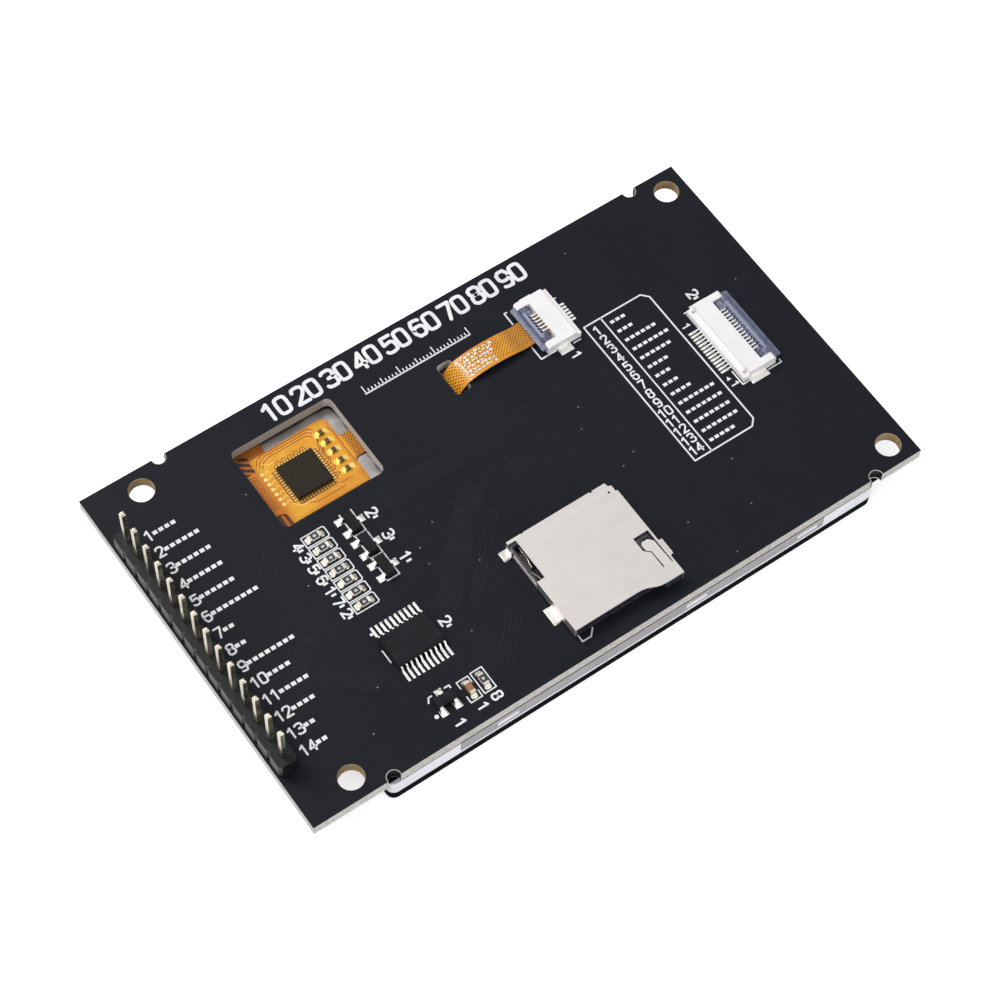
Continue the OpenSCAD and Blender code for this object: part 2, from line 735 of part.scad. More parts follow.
module slider_spring() {
    turns = 9;
    around = 10;
    sides = 6;
    length = rear_wall_y[0] - slider_y[1] - spring_wire - 0.04;
    steps = turns * around;
    points = [for (k = [0:steps], j = [0:sides - 1])
        let (a = 360 * k / around, b = 360 * j / sides, r = spring_r + spring_wire / 2 * cos(b))
        [r * cos(a), r * sin(a), length * k / steps + spring_wire / 2 * sin(b)]];
    sides_of = [for (k = [0:steps - 1], j = [0:sides - 1])
        let (a = k * sides, n = (j + 1) % sides) [a + j, a + sides + j, a + sides + n, a + n]];
    ends = [[for (j = [0:sides - 1]) j], [for (j = [sides - 1:-1:0]) steps * sides + j]];
    color("#b9bcc0") at_socket()
        translate([spring_x, slider_y[1] + spring_wire / 2 + 0.02, spring_z]) rotate([-90, 0, 0])
            polyhedron(points, concat(sides_of, ends));
}

// A wire with both ends bent down: one in the base, one in the slider's track
module lock_link() {
    leg_z = [0.65, track_floor + 0.06];
    color("#b9bcc0") at_socket() {
        translate([lock_x, link_y[0], link_z]) rotate([-90, 0, 0])
            cylinder(d = link_d, h = link_y[1] - link_y[0], $fn = 24);
        for (i = [0, 1]) translate([lock_x, link_y[i], leg_z[i]]) {
            cylinder(d = link_d, h = link_z - leg_z[i], $fn = 24);
            translate([0, 0, link_z - leg_z[i]]) sphere(d = link_d, $fn = 24);
        }
    }
}

// ---- Flexible circuits ----

body_x = [window_x[0] + 1.7, window_x[0] + 12.5];
body_y = [window_y[0] + 0.9, window_y[1] - 1.1];
root_y = [tail_y - 3.35, tail_y + 3.05];
tongue_l = 2.2;
fold_x = panel_x[0] - 0.1;
cable_rest = top_z + conn_floor_z[1] + 0.03;
stiffener_t = 0.18;
arch_h = 0.88;
shoulder_h = 0.45;

// The touch circuit: bonded to the sensor at the display's header end, folded round it,
// flat on the display's back with its chip in the window, and up through the slot
module touch_flex() {
    tongue = tongue_z + flex_t / 2;
    back = touch_flex_z + flex_t / 2;
    turn = [fold_x, (tongue + back) / 2];
    root_w = root_y[1] - root_y[0];
    neck = tail_y + tail_w / 2;
    low_neck = tail_y - tail_w / 2;
    fillet = 0.5;
    notch_r = 0.85;
    flat_end = slot_x - 1.4;
    outline = concat(
        [[fold_x, root_y[0]], [body_x[0] - notch_r, root_y[0]]],
        arc([body_x[0] - notch_r, body_y[0] + 1.9 - notch_r], notch_r, 90, 0, 4),
        [[body_x[0], body_y[0]], [body_x[1] - 0.3, body_y[0]], [body_x[1], body_y[0] + 0.3]],
        arc([body_x[1] + fillet, low_neck - fillet], fillet, 180, 90, 4),
        [[flat_end, low_neck], [flat_end, neck]],
        arc([body_x[1] + fillet, neck + fillet], fillet, 270, 180, 4),
        [[body_x[1], body_y[1] - 0.7], [body_x[1] - 0.6, body_y[1]], [body_x[0], body_y[1] - 0.3],
         [body_x[0], root_y[1]], [fold_x, root_y[1]]]);
    shoulder = [slot_x + 1.6, top_z + shoulder_h];
    slope = [1, 0.235];
    plug = cable_rest + flex_t / 2;
    plug_end = touch_x - cable_back - 0.2;
    arch = [slot_x + 0.45 * touch_reach, top_z + arch_h];
    tail = concat(
        curve([[flat_end, back], [slot_x + 0.2, back], shoulder - 1.7 * slope, shoulder], 12),
        rest(curve([shoulder, shoulder + slope, arch - [2, 0], arch], 8)),
        rest(curve([arch, arch + [2.6, 0], [touch_x - 2.9, plug], [touch_x - 1.3, plug]], 8)),
        [[plug_end, plug]]);
    color("#b8772a") {
        translate([0, (root_y[0] + root_y[1]) / 2, 0]) along_y(root_w) polygon(strip(concat(
            [[panel_x[0] + tongue_l, tongue]], arc(turn, (back - tongue) / 2, 270, 90, 10),
            [[fold_x + 0.2, back]]), flex_t));
        sheet([touch_flex_z, touch_flex_top]) polygon(outline);
        translate([0, tail_y, 0]) {
            along_y(tail_w) polygon(strip(tail, flex_t));
            block([touch_x - 1.1, plug_end], about(0, tail_w),
                  [cable_rest + flex_t / 2, cable_rest + flex_t + stiffener_t]);
        }
    }
}

module touch_chip() {
    color("#3a3836") translate([touch_chip_at[0], touch_chip_at[1], touch_flex_top]) {
        sheet([0, touch_chip_h]) square(touch_chip_w, center = true);
    }
}

module flex_parts() {
    color("#a98a63") for (dy = flex_part_dy)
        translate([flex_part_x, tail_y + dy, touch_flex_top])
            chip_part(flex_part_size[0], flex_part_size[1], flex_part_size[2], 0.25);
}

// ---- Display ----

panel_r = 1;
flange_z = [display_z + 0.4, back_z];
snap_x = [band_x[0] + 6.6, panel_cx + 8.2, band_x[1] - 2.4];
snap_z = [flange_z[0] + 0.45, back_z - plate_t - 0.55];
cell_y = inset(board_y, 1.6);
guide_y = inset(board_y, 2.1);
ledge_z = display_z + 1.15;
pocket_fit = 0.05;
cell_x = [panel_x[0] + 2.2, panel_x[1] - 2];
front_glass_x = cell_x[0] + 4.8;
guide_x = [panel_x[0] + 5.1, panel_x[1] - 2.1];
led_x = [guide_x[0] - 0.9, guide_x[0] - 0.1];
led_count = 4;
display_flex_w = 34;
ear_x = band_x[0] + 2.3;
polariser_t = 0.15;
glass_t = 0.4;
cell_z = display_z + 0.05;
tft_z = cell_z + polariser_t + glass_t;

module back_plate() {
    color("#a9acb1") difference() {
        union() {
            block(band_x, board_y, [back_z - plate_t, back_z]);
            for (s = [0, 1]) mirror([0, s, 0])
                block(band_x, [board_y[1] - plate_t, board_y[1]], flange_z);
        }
        for (x = snap_x) block(about(x, snap_l), inset(board_y, -1), snap_z);
    }
}

// White frame: a pocket for the cell, a deeper and narrower one for the light guide, and
// recesses for the back plate with bosses that fill its snap windows
module display_frame() {
    side = board_y[1] - plate_t;
    color("#d9d6e2") {
        difference() {
            sheet([display_z, back_z]) polygon(rounded(panel_x, board_y, panel_r));
            block(band_x, inset(board_y, -1), [back_z - plate_t, back_z + 1]);
            for (s = [0, 1]) mirror([0, s, 0])
                block(band_x, [side, side + 1], [flange_z[0], back_z + 1]);
            block(inset(cell_x, -0.15), inset(cell_y, -pocket_fit), [display_z - 1, ledge_z]);
            block([led_x[0] - 0.4, guide_x[1] + 0.1], inset(guide_y, -pocket_fit),
                  [display_z, back_z - plate_t]);
            block([panel_x[0] - 1, cell_x[0]], about(0, display_flex_w + 1), [display_z - 1, tft_z + 0.05]);
        }
        for (x = snap_x, s = [0, 1]) mirror([0, s, 0])
            block(about(x, snap_l - 0.1), [side - 0.1, side + plate_t], inset(snap_z, pocket_fit));
    }
}

module light_guide() {
    color("#f2f2ee") block(guide_x, guide_y, [ledge_z + 0.3, back_z - plate_t - 0.05]);
}

module film_stack() {
    color("#fafafa") block([guide_x[0] + 1, guide_x[1]], guide_y, [ledge_z + 0.05, ledge_z + 0.3]);
}

// Front polariser, front glass, the longer rear glass with its ledge, and rear polariser
module display_cell() {
    z = [cell_z, cell_z + polariser_t, tft_z, tft_z + glass_t, tft_z + glass_t + polariser_t];
    color("#101216") {
        block([front_glass_x + 0.4, cell_x[1] - 0.4], inset(cell_y, 0.4), [z[0], z[1]]);
        block([front_glass_x, cell_x[1]], cell_y, [z[1], z[2]]);
        block(cell_x, cell_y, [z[2], z[3]]);
        block([front_glass_x + 0.4, cell_x[1] - 0.4], inset(cell_y, 0.4), [z[3], z[4]]);
    }
}

module driver_chip() {
    color("#2c2e33") block([front_glass_x - 1.7, front_glass_x - 0.7], about(0, 18), [tft_z - 0.35, tft_z]);
}

module backlight_leds() {
    spacing = 10;
    width = 2.8;
    color("#f4efd2") for (i = [1:led_count])
        block(led_x, about((i - (led_count + 1) / 2) * spacing, width),
              [ledge_z + 0.35, back_z - plate_t - 0.1]);
}

// The display's circuit: bonded to the rear glass's ledge and folded round the frame's end
module display_flex() {
    bond = tft_z - flex_t / 2;
    back = display_flex_z + flex_t / 2;
    turn = [fold_x + 0.05, (bond + back) / 2];
    color("#a5641f") {
        along_y(display_flex_w) polygon(strip(concat(
            [[cell_x[0] + 1.4, bond]], arc(turn, (back - bond) / 2, 270, 90, 8),
            [[fold_x + 1.2, back]]), flex_t));
        sheet([display_flex_z, display_flex_z + flex_t]) polygon([
            [fold_x + 1, -display_flex_w / 2], [band_x[0] - 4, -display_flex_w / 2],
            [band_x[0], window_y[0] - 1.5], [band_x[0], body_y[1] - 1], [ear_x, body_y[1] - 1],
            [ear_x, window_y[1] + 0.3], [fold_x + 2.5, window_y[1] + 0.3],
            [fold_x + 1, display_flex_w / 2]]);
    }
}

module touch_sensor() {
    color("#16181c") difference() {
        sheet([sensor_z, gasket_z]) polygon(rounded(panel_x, board_y, panel_r));
        // Pocket for the touch circuit's tongue
        block([panel_x[0] - 1, panel_x[0] + tongue_l + 0.1], inset(root_y, -0.1),
              [sensor_z - 1, sensor_z + flex_t + 0.01]);
    }
}

// The edge of the face is ground off all round
module cover_glass() {
    bevel = 0.12;
    color("#0c0d10") hull() {
        sheet([bevel, cover_t]) polygon(rounded(panel_x, board_y, panel_r));
        sheet([0, bevel]) polygon(rounded(inset(panel_x, bevel), inset(board_y, bevel), panel_r - bevel));
    }
}

module gasket_tape() {
    margin = 0.3;
    width = 1.2;
    color("#1b1b1d") sheet([gasket_z, display_z]) difference() {
        polygon(rounded(inset(panel_x, margin), inset(board_y, margin), panel_r - margin));
        polygon(rounded(inset(panel_x, margin + width), inset(board_y, margin + width), 0.3));
    }
}

// A band close to both long edges over the back plate, and a bar across the connector end
module mounting_tape() {
    margin = 0.12;
    bar_margin = 0.7;
    width = 2.3;
    y = inset(board_y, margin);
    bar_x = [band_x[1] - width, panel_x[1] - bar_margin];
    bar_y = inset(board_y, bar_margin);
    color("#232326") sheet([back_z, board_z]) polygon([
        [band_x[0], y[0]], [band_x[1], y[0]], [band_x[1], bar_y[0]], [bar_x[1], bar_y[0]],
        [bar_x[1], bar_y[1]], [band_x[1], bar_y[1]], [band_x[1], y[1]], [band_x[0], y[1]],
        [band_x[0], y[1] - width], [bar_x[0], y[1] - width], [bar_x[0], y[0] + width],
        [band_x[0], y[0] + width]]);
}

// ---- What is drawn ----

pcb();
header_strip();
for (i = [1:pin_count]) header_pin(i);
for (i = [1:ladder_count + 1]) resistor(i);
capacitor();
for (i = [1:transistor_count]) transistor(i);
transistor_leads();
regulator();
regulator_leads();
logic_chip();
logic_chip_leads();
touch_connector_housing();
touch_connector_terminals();
touch_connector_latch();
spare_connector_housing();
spare_connector_terminals();
spare_connector_latch();
card_socket_shell();
card_socket_base();
card_socket_contacts();
card_slider();
slider_spring();
lock_link();
touch_flex();
touch_chip();
flex_parts();
back_plate();
display_frame();
light_guide();
film_stack();
display_cell();
driver_chip();
backlight_leds();
display_flex();
touch_sensor();
cover_glass();
gasket_tape();
mounting_tape();
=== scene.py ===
# %% [markdown]
# # A touch display module, seen from its component side
# The object is a circuit board with a display and a touch glass taped to its back. This
# script takes the exact solids of the CAD model as a fixed frame, softens their edges,
# gives each one a finish, and adds what is too thin or too small for the solids: print,
# solder, pads, tracks and the fine patterns of the flexible circuits.

# %% Start
import json
import math
import random

import bmesh
import bpy
from mathutils import Matrix, Vector
from mathutils.bvhtree import BVHTree

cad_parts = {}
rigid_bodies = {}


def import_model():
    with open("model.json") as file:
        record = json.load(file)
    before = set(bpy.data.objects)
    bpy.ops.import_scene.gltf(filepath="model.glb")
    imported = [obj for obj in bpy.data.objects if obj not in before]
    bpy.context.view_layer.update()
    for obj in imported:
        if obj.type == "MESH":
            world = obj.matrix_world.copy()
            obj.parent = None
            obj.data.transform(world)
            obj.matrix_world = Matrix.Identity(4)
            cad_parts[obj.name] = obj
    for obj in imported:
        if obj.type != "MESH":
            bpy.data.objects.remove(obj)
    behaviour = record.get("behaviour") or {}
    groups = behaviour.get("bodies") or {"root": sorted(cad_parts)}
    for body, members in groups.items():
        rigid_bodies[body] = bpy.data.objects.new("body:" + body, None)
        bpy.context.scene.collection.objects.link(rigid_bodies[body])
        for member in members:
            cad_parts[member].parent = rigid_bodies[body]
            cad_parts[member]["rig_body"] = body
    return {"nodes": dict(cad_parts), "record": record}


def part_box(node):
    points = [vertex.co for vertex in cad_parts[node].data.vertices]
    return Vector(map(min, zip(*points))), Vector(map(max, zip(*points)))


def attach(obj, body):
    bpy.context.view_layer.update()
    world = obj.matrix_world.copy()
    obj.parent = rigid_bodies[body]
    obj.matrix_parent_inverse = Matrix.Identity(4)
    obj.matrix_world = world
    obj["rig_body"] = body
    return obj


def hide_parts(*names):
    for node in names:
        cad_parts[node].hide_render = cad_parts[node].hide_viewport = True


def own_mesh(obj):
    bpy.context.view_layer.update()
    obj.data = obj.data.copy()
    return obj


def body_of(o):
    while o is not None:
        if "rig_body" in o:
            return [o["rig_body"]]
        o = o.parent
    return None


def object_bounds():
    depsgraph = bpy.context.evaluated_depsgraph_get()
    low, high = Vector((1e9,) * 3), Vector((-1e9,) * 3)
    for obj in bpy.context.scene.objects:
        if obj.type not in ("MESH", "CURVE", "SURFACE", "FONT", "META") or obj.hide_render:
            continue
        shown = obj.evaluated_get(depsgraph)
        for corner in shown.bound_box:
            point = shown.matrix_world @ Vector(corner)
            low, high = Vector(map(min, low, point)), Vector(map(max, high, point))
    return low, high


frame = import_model()
cad_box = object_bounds()
MM, TO_MM = 0.001, 1000.0

# %% [markdown]
# ## The camera
# A small product is usually shot with a longish lens from half above, so that its top
# reads like a plan and two of its sides still show. The view is set by three angles and a
# place instead of by eye, and a little lens shift moves the object in the frame without
# turning the camera.

# %% Camera
VIEW_AZIMUTH, VIEW_DOWN, VIEW_ROLL = (math.radians(v) for v in (52.135, 60.607, 3.163))
CAMERA_PLACE = (-0.10374, -0.13763, 0.30268)
FOCAL_LENGTH, SENSOR_WIDTH = 105, 36
LENS_SHIFT = (-0.02385, 0.01441)
forward = Vector((math.cos(VIEW_DOWN) * math.cos(VIEW_AZIMUTH),
                  math.cos(VIEW_DOWN) * math.sin(VIEW_AZIMUTH), -math.sin(VIEW_DOWN)))
level = Vector((math.sin(VIEW_AZIMUTH), -math.cos(VIEW_AZIMUTH), 0))
right = (Matrix.Rotation(-VIEW_ROLL, 3, forward) @ level).normalized()
up = right.cross(forward)
lens = bpy.data.cameras.new("camera")
lens.lens, lens.sensor_width = FOCAL_LENGTH, SENSOR_WIDTH
lens.shift_x, lens.shift_y = LENS_SHIFT
lens.clip_start, lens.clip_end = 0.01, 10
camera = bpy.data.objects.new("camera", lens)
bpy.context.collection.objects.link(camera)
turned = Matrix((right, up, -forward)).transposed().to_4x4()
camera.matrix_world = Matrix.Translation(CAMERA_PLACE) @ turned
bpy.context.scene.camera = camera
print("camera looks along", [round(v, 3) for v in forward])

# %% [markdown]
# ## Lamps
# The object stands on a plain white sweep. A large soft lamp stands behind it on the left
# and throws the short shadows of the parts toward the near long edge, and two weaker ones
# fill the near sides. Disc lamps are used, because their size alone sets how soft a shadow
# gets.

# %% Lamps
def lamp(name, place, size, power, colour):
    """A disc lamp at a place, aimed at the middle of the board."""
    light = bpy.data.lights.new(name, "AREA")
    light.shape, light.size, light.energy, light.color = "DISK", size, power, colour
    body = bpy.data.objects.new(name, light)
    bpy.context.collection.objects.link(body)
    body.location = place
    body.rotation_mode = "QUATERNION"
    body.rotation_quaternion = (-Vector(place)).to_track_quat("-Z", "Y")


lamp("key", (-0.20, 0.36, 0.50), 0.26, 2.5, (1, 0.985, 0.96))
lamp("fill_left", (-0.50, -0.20, 0.35), 0.45, 1.1, (0.96, 0.98, 1))
lamp("fill_front", (0.15, -0.60, 0.22), 0.40, 1.3, (1, 0.99, 0.97))

# %% [markdown]
# ## Background
# A white studio would flood the object with light from all sides. The world is therefore
# dim and bluish where it lights the object, and white only for what the camera or a mirror
# sees. The Light Path node tells the two kinds of ray apart.

# %% World
SKY_COLOUR, SKY_STRENGTH = (0.93, 0.95, 1, 1), 0.36


def seen_directly(tree):
    """One for camera, glossy and transmission rays, and zero for the rest."""
    path = tree.nodes.new("ShaderNodeLightPath")
    seen = path.outputs["Is Camera Ray"]
    for ray in ("Is Glossy Ray", "Is Transmission Ray"):
        most = tree.nodes.new("ShaderNodeMath")
        most.operation = "MAXIMUM"
        tree.links.new(seen, most.inputs[0])
        tree.links.new(path.outputs[ray], most.inputs[1])
        seen = most.outputs[0]
    return seen


world = bpy.data.worlds.new("studio")
bpy.context.scene.world = world
world.use_nodes = True
wt = world.node_tree
wt.nodes.clear()
soft, white = wt.nodes.new("ShaderNodeBackground"), wt.nodes.new("ShaderNodeBackground")
soft.inputs["Color"].default_value = SKY_COLOUR
soft.inputs["Strength"].default_value = SKY_STRENGTH
white.inputs["Strength"].default_value = 1
choose, out = wt.nodes.new("ShaderNodeMixShader"), wt.nodes.new("ShaderNodeOutputWorld")
wt.links.new(seen_directly(wt), choose.inputs[0])
wt.links.new(soft.outputs[0], choose.inputs[1])
wt.links.new(white.outputs[0], choose.inputs[2])
wt.links.new(choose.outputs[0], out.inputs[0])
bpy.context.scene.view_settings.view_transform = "Standard"
print("world", world.name, "strength", SKY_STRENGTH)

# %% [markdown]
# ## Floor
# The floor catches the shadow of the object. It is a large plane just under the glass. A
# matt grey shader takes the shadow, and a glow, again only for what is seen directly, lifts
# it to white without lighting the object from below.

# %% Floor
FLOOR_REACH, FLOOR_GAP, FLOOR_GLOW = 2, 0.0001, 0.62
corners = [(x * FLOOR_REACH, y * FLOOR_REACH, 0) for x, y in ((-1, -1), (1, -1), (1, 1), (-1, 1))]
floor_mesh = bpy.data.meshes.new("floor")
floor_mesh.from_pydata(corners, [], [(0, 1, 2, 3)])
floor = bpy.data.objects.new("floor", floor_mesh)
bpy.context.collection.objects.link(floor)
floor.location.z = cad_box[0].z - FLOOR_GAP
floor_finish = bpy.data.materials.new("floor")
floor_finish.use_nodes = True
ft = floor_finish.node_tree
shader = ft.nodes["Principled BSDF"]
shader.inputs["Base Color"].default_value = (0.86, 0.86, 0.87, 1)
shader.inputs["Roughness"].default_value = 0.9
glow = ft.nodes.new("ShaderNodeEmission")
glow.inputs["Strength"].default_value = FLOOR_GLOW
lit = ft.nodes.new("ShaderNodeAddShader")
pick = ft.nodes.new("ShaderNodeMixShader")
ft.links.new(shader.outputs[0], lit.inputs[0])
ft.links.new(glow.outputs[0], lit.inputs[1])
ft.links.new(seen_directly(ft), pick.inputs[0])
ft.links.new(shader.outputs[0], pick.inputs[1])
ft.links.new(lit.outputs[0], pick.inputs[2])
ft.links.new(pick.outputs[0], ft.nodes["Material Output"].inputs[0])
floor_mesh.materials.append(floor_finish)
print("floor at", round(floor.location.z / MM, 2), "mm")

# %% [markdown]
# ## Where things are
# The sizes of solids are read from their boxes, in millimetres, so that solder and outlines
# stay on their parts. Ink, copper and tinned pads are far thinner than the board, and each
# starts a hair below its surface, so that no two faces share a plane.

# %% Places
def limits(node):
    """Lowest and highest corner of a solid, in millimetres."""
    low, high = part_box(node)
    return low / MM, high / MM


def middle(node):
    low, high = limits(node)
    return (low + high) / 2


BOARD_LOW, BOARD_HIGH = limits("pcb")
TOP, UNDER = BOARD_HIGH.z, BOARD_LOW.z
ROOT = TOP - 0.002
INK_Z, TRACK_Z, PAD_Z = (ROOT, TOP + 0.018), (ROOT, TOP + 0.012), (ROOT, TOP + 0.03)
WINDOW_LOW, WINDOW_HIGH = (
    Vector(corner) / MM for corner in frame["record"]["physics"]["openings"][0]["box_m"])
print("board", [round(v, 2) for v in BOARD_HIGH - BOARD_LOW], "top at", round(TOP, 2))

# %% [markdown]
# ## Shared effects
# Most surfaces here need the same few things: a fine grain, wear along edges, a little
# settled dust, a satin drawn line, a printed hatch. Each is a node group, made once and
# placed in the materials with its own values. A group hands out only masks and values, and
# the shader itself stays in each material. First come the helpers that add single nodes, so
# that an effect reads like a short sum.

# %% Node helpers
def group(name, inputs, outputs):
    """An empty node group. Inputs are {name: default}, where None makes a vector input, and
    outputs is a list of names."""
    tree = bpy.data.node_groups.new(name, "ShaderNodeTree")
    for label, value in inputs.items():
        kind = "NodeSocketVector" if value is None else "NodeSocketFloat"
        socket = tree.interface.new_socket(label, in_out="INPUT", socket_type=kind)
        if value is not None:
            socket.default_value = value
    for label in outputs:
        tree.interface.new_socket(label, in_out="OUTPUT", socket_type="NodeSocketFloat")
    return tree, tree.nodes.new("NodeGroupInput"), tree.nodes.new("NodeGroupOutput")


def put(tree, value, socket):
    """Links an output, or writes a number, into a socket."""
    if isinstance(value, bpy.types.NodeSocket):
        tree.links.new(value, socket)
    else:
        socket.default_value = value


def calc(tree, operation, a, b=0.0, clamp=False):
    """One Math node."""
    node = tree.nodes.new("ShaderNodeMath")
    node.operation, node.use_clamp = operation, clamp
    put(tree, a, node.inputs[0])
    put(tree, b, node.inputs[1])
    return node.outputs[0]


def inverse(tree, value):
    """One minus a value."""
    return calc(tree, "SUBTRACT", 1.0, value)


def mean(tree, a, b):
    return calc(tree, "MULTIPLY", calc(tree, "ADD", a, b), 0.5)


def weighted(tree, a, share, b, rest):
    """Adds two values, each with its own share."""
    return calc(tree, "ADD", calc(tree, "MULTIPLY", a, share), calc(tree, "MULTIPLY", b, rest))


def along_axes(tree, vector):
    """The X, Y and Z outputs of a vector."""
    node = tree.nodes.new("ShaderNodeSeparateXYZ")
    tree.links.new(vector, node.inputs[0])
    return node.outputs


def noise(tree, where, scale, detail=2.0, roughness=0.5):
    """Cloudy values between 0 and 1."""
    node = tree.nodes.new("ShaderNodeTexNoise")
    put(tree, where, node.inputs["Vector"])
    put(tree, scale, node.inputs["Scale"])
    node.inputs["Detail"].default_value = detail
    node.inputs["Roughness"].default_value = roughness
    return node.outputs[0]


def spread(tree, value, low, high, to_low=0.0, to_high=1.0):
    """Maps low..high to to_low..to_high and holds the ends."""
    node = tree.nodes.new("ShaderNodeMapRange")
    node.interpolation_type = "SMOOTHSTEP"
    put(tree, value, node.inputs["Value"])
    for label, number in (("From Min", low), ("From Max", high),
                          ("To Min", to_low), ("To Max", to_high)):
        put(tree, number, node.inputs[label])
    return node.outputs[0]


def blend_colour(tree, amount, a, b):
    """Colour a where amount is 0, and b where it is 1."""
    node = tree.nodes.new("ShaderNodeMix")
    node.data_type = "RGBA"
    put(tree, amount, node.inputs[0])
    for value, socket in ((a, node.inputs[6]), (b, node.inputs[7])):
        put(tree, value if isinstance(value, bpy.types.NodeSocket) else (*value, 1), socket)
    return node.outputs[2]


def stretched(tree, where, factors):
    """Coordinates scaled by one factor per axis, which draws a pattern out."""
    node = tree.nodes.new("ShaderNodeMapping")
    put(tree, where, node.inputs["Vector"])
    node.inputs["Scale"].default_value = factors
    return node.outputs[0]


print("helpers ready")

# %% [markdown]
# ## Grain, wear, dust and drawn lines
# These four follow how a surface was made and used. Grain mixes a fine noise with a coarse
# one. Wear takes the Pointiness of the mesh, which is high on outside edges, and breaks it
# up. Dust settles where the face looks up. Drawn lines are noise stretched along X.

# %% Groups for grain, wear, dust and drawn lines
def make_grain():
    """Fine even grain, as on moulded plastic, ink or lacquer."""
    tree, given, gives = group("grain", {"Where": None, "Scale": 9000.0, "Softness": 0.5}, ["Value"])
    where, scale, softness = (given.outputs[k] for k in ("Where", "Scale", "Softness"))
    fine = noise(tree, where, scale, 3.0, 0.6)
    coarse = noise(tree, where, calc(tree, "MULTIPLY", scale, 0.13), 2.0)
    both = weighted(tree, fine, softness, coarse, inverse(tree, softness))
    tree.links.new(both, gives.inputs["Value"])
    return tree


def make_edge_wear():
    """High on outside edges, broken up by noise."""
    tree, given, gives = group("edge_wear", {"Where": None, "Amount": 0.5, "Break": 2500.0}, ["Mask"])
    geometry = tree.nodes.new("ShaderNodeNewGeometry")
    edge = spread(tree, geometry.outputs["Pointiness"], 0.515, 0.60)
    broken = spread(tree, noise(tree, given.outputs["Where"], given.outputs["Break"], 4.0, 0.65),
                    0.35, 0.65)
    mask = calc(tree, "MULTIPLY", calc(tree, "MULTIPLY", edge, broken), given.outputs["Amount"], True)
    tree.links.new(mask, gives.inputs["Mask"])
    return tree


def make_dust():
    """Sparse pale specks that settle on faces that look up."""
    tree, given, gives = group("dust", {"Where": None, "Amount": 0.3, "Scale": 1500.0}, ["Mask"])
    specks = spread(tree, noise(tree, given.outputs["Where"], given.outputs["Scale"], 4.0, 0.7),
                    0.66, 0.74)
    geometry = tree.nodes.new("ShaderNodeNewGeometry")
    upward = spread(tree, along_axes(tree, geometry.outputs["Normal"])[2], 0.3, 0.9)
    mask = calc(tree, "MULTIPLY", calc(tree, "MULTIPLY", specks, upward), given.outputs["Amount"], True)
    tree.links.new(mask, gives.inputs["Mask"])
    return tree


def make_drawn():
    """Long faint lines along X, as rolling leaves on sheet metal."""
    tree, given, gives = group("drawn", {"Where": None, "Scale": 900.0}, ["Value"])
    lines = noise(tree, stretched(tree, given.outputs["Where"], (0.06, 1.6, 1.6)),
                  given.outputs["Scale"], 5.0, 0.7)
    tree.links.new(lines, gives.inputs["Value"])
    return tree


GRAIN, EDGE_WEAR, DUST, DRAWN = make_grain(), make_edge_wear(), make_dust(), make_drawn()
print("groups", [g.name for g in bpy.data.node_groups])

# %% [markdown]
# ## Hatch, stripes and patches
# These three draw what a maker prints or etches, so they are counted in millimetres. A
# hatch or a stripe repeats by its pitch, and a patch keeps any effect inside a rectangle.

# %% Groups for hatch, stripes and patches
def repeated(tree, along, given):
    """One on the lines of a pattern along a length in metres, and zero between them."""
    turns = calc(tree, "FRACT", calc(tree, "DIVIDE", calc(tree, "MULTIPLY", along, TO_MM),
                                     given.outputs["Pitch"]))
    return calc(tree, "LESS_THAN", turns, given.outputs["Line"])


def make_hatch():
    """A diagonal copper mesh, of lines that cross at right angles, seen through film."""
    tree, given, gives = group("hatch", {"Where": None, "Pitch": 0.35, "Line": 0.4}, ["Mask"])
    x, y, _ = along_axes(tree, given.outputs["Where"])
    masks = [repeated(tree, calc(tree, sign, x, y), given) for sign in ("ADD", "SUBTRACT")]
    tree.links.new(calc(tree, "MAXIMUM", *masks), gives.inputs["Mask"])
    return tree


def make_stripes():
    """Even bands, whose direction is set by how much X and Y count."""
    tree, given, gives = group("stripes", {"Where": None, "X share": 1.0, "Y share": 0.0,
                                           "Pitch": 0.5, "Line": 0.5}, ["Mask"])
    x, y, _ = along_axes(tree, given.outputs["Where"])
    along = weighted(tree, x, given.outputs["X share"], y, given.outputs["Y share"])
    tree.links.new(repeated(tree, along, given), gives.inputs["Mask"])
    return tree


def make_patch():
    """One inside a rectangle in X and Y given in millimetres, and soft at its border."""
    tree, given, gives = group("patch", {"Where": None, "X low": 0.0, "X high": 1.0,
                                         "Y low": 0.0, "Y high": 1.0, "Border": 0.05}, ["Mask"])
    mask = None
    for label, metres in zip("XY", along_axes(tree, given.outputs["Where"])):
        value = calc(tree, "MULTIPLY", metres, TO_MM)
        for edge, sign in ((f"{label} low", 1.0), (f"{label} high", -1.0)):
            gap = calc(tree, "MULTIPLY", calc(tree, "SUBTRACT", value, given.outputs[edge]), sign)
            inside = calc(tree, "DIVIDE", gap, given.outputs["Border"], True)
            mask = inside if mask is None else calc(tree, "MINIMUM", mask, inside)
    tree.links.new(mask, gives.inputs["Mask"])
    return tree


HATCH, STRIPES, PATCH = make_hatch(), make_stripes(), make_patch()
print("groups", len(bpy.data.node_groups))

# %% [markdown]
# ## Finishes
# A finish starts from one recipe: a base colour that drifts a little, specks of dust, worn
# edges, a roughness that follows the grain and a bump from the same grain. Each material
# sets its own values, and the special ones then add their own layer on top.

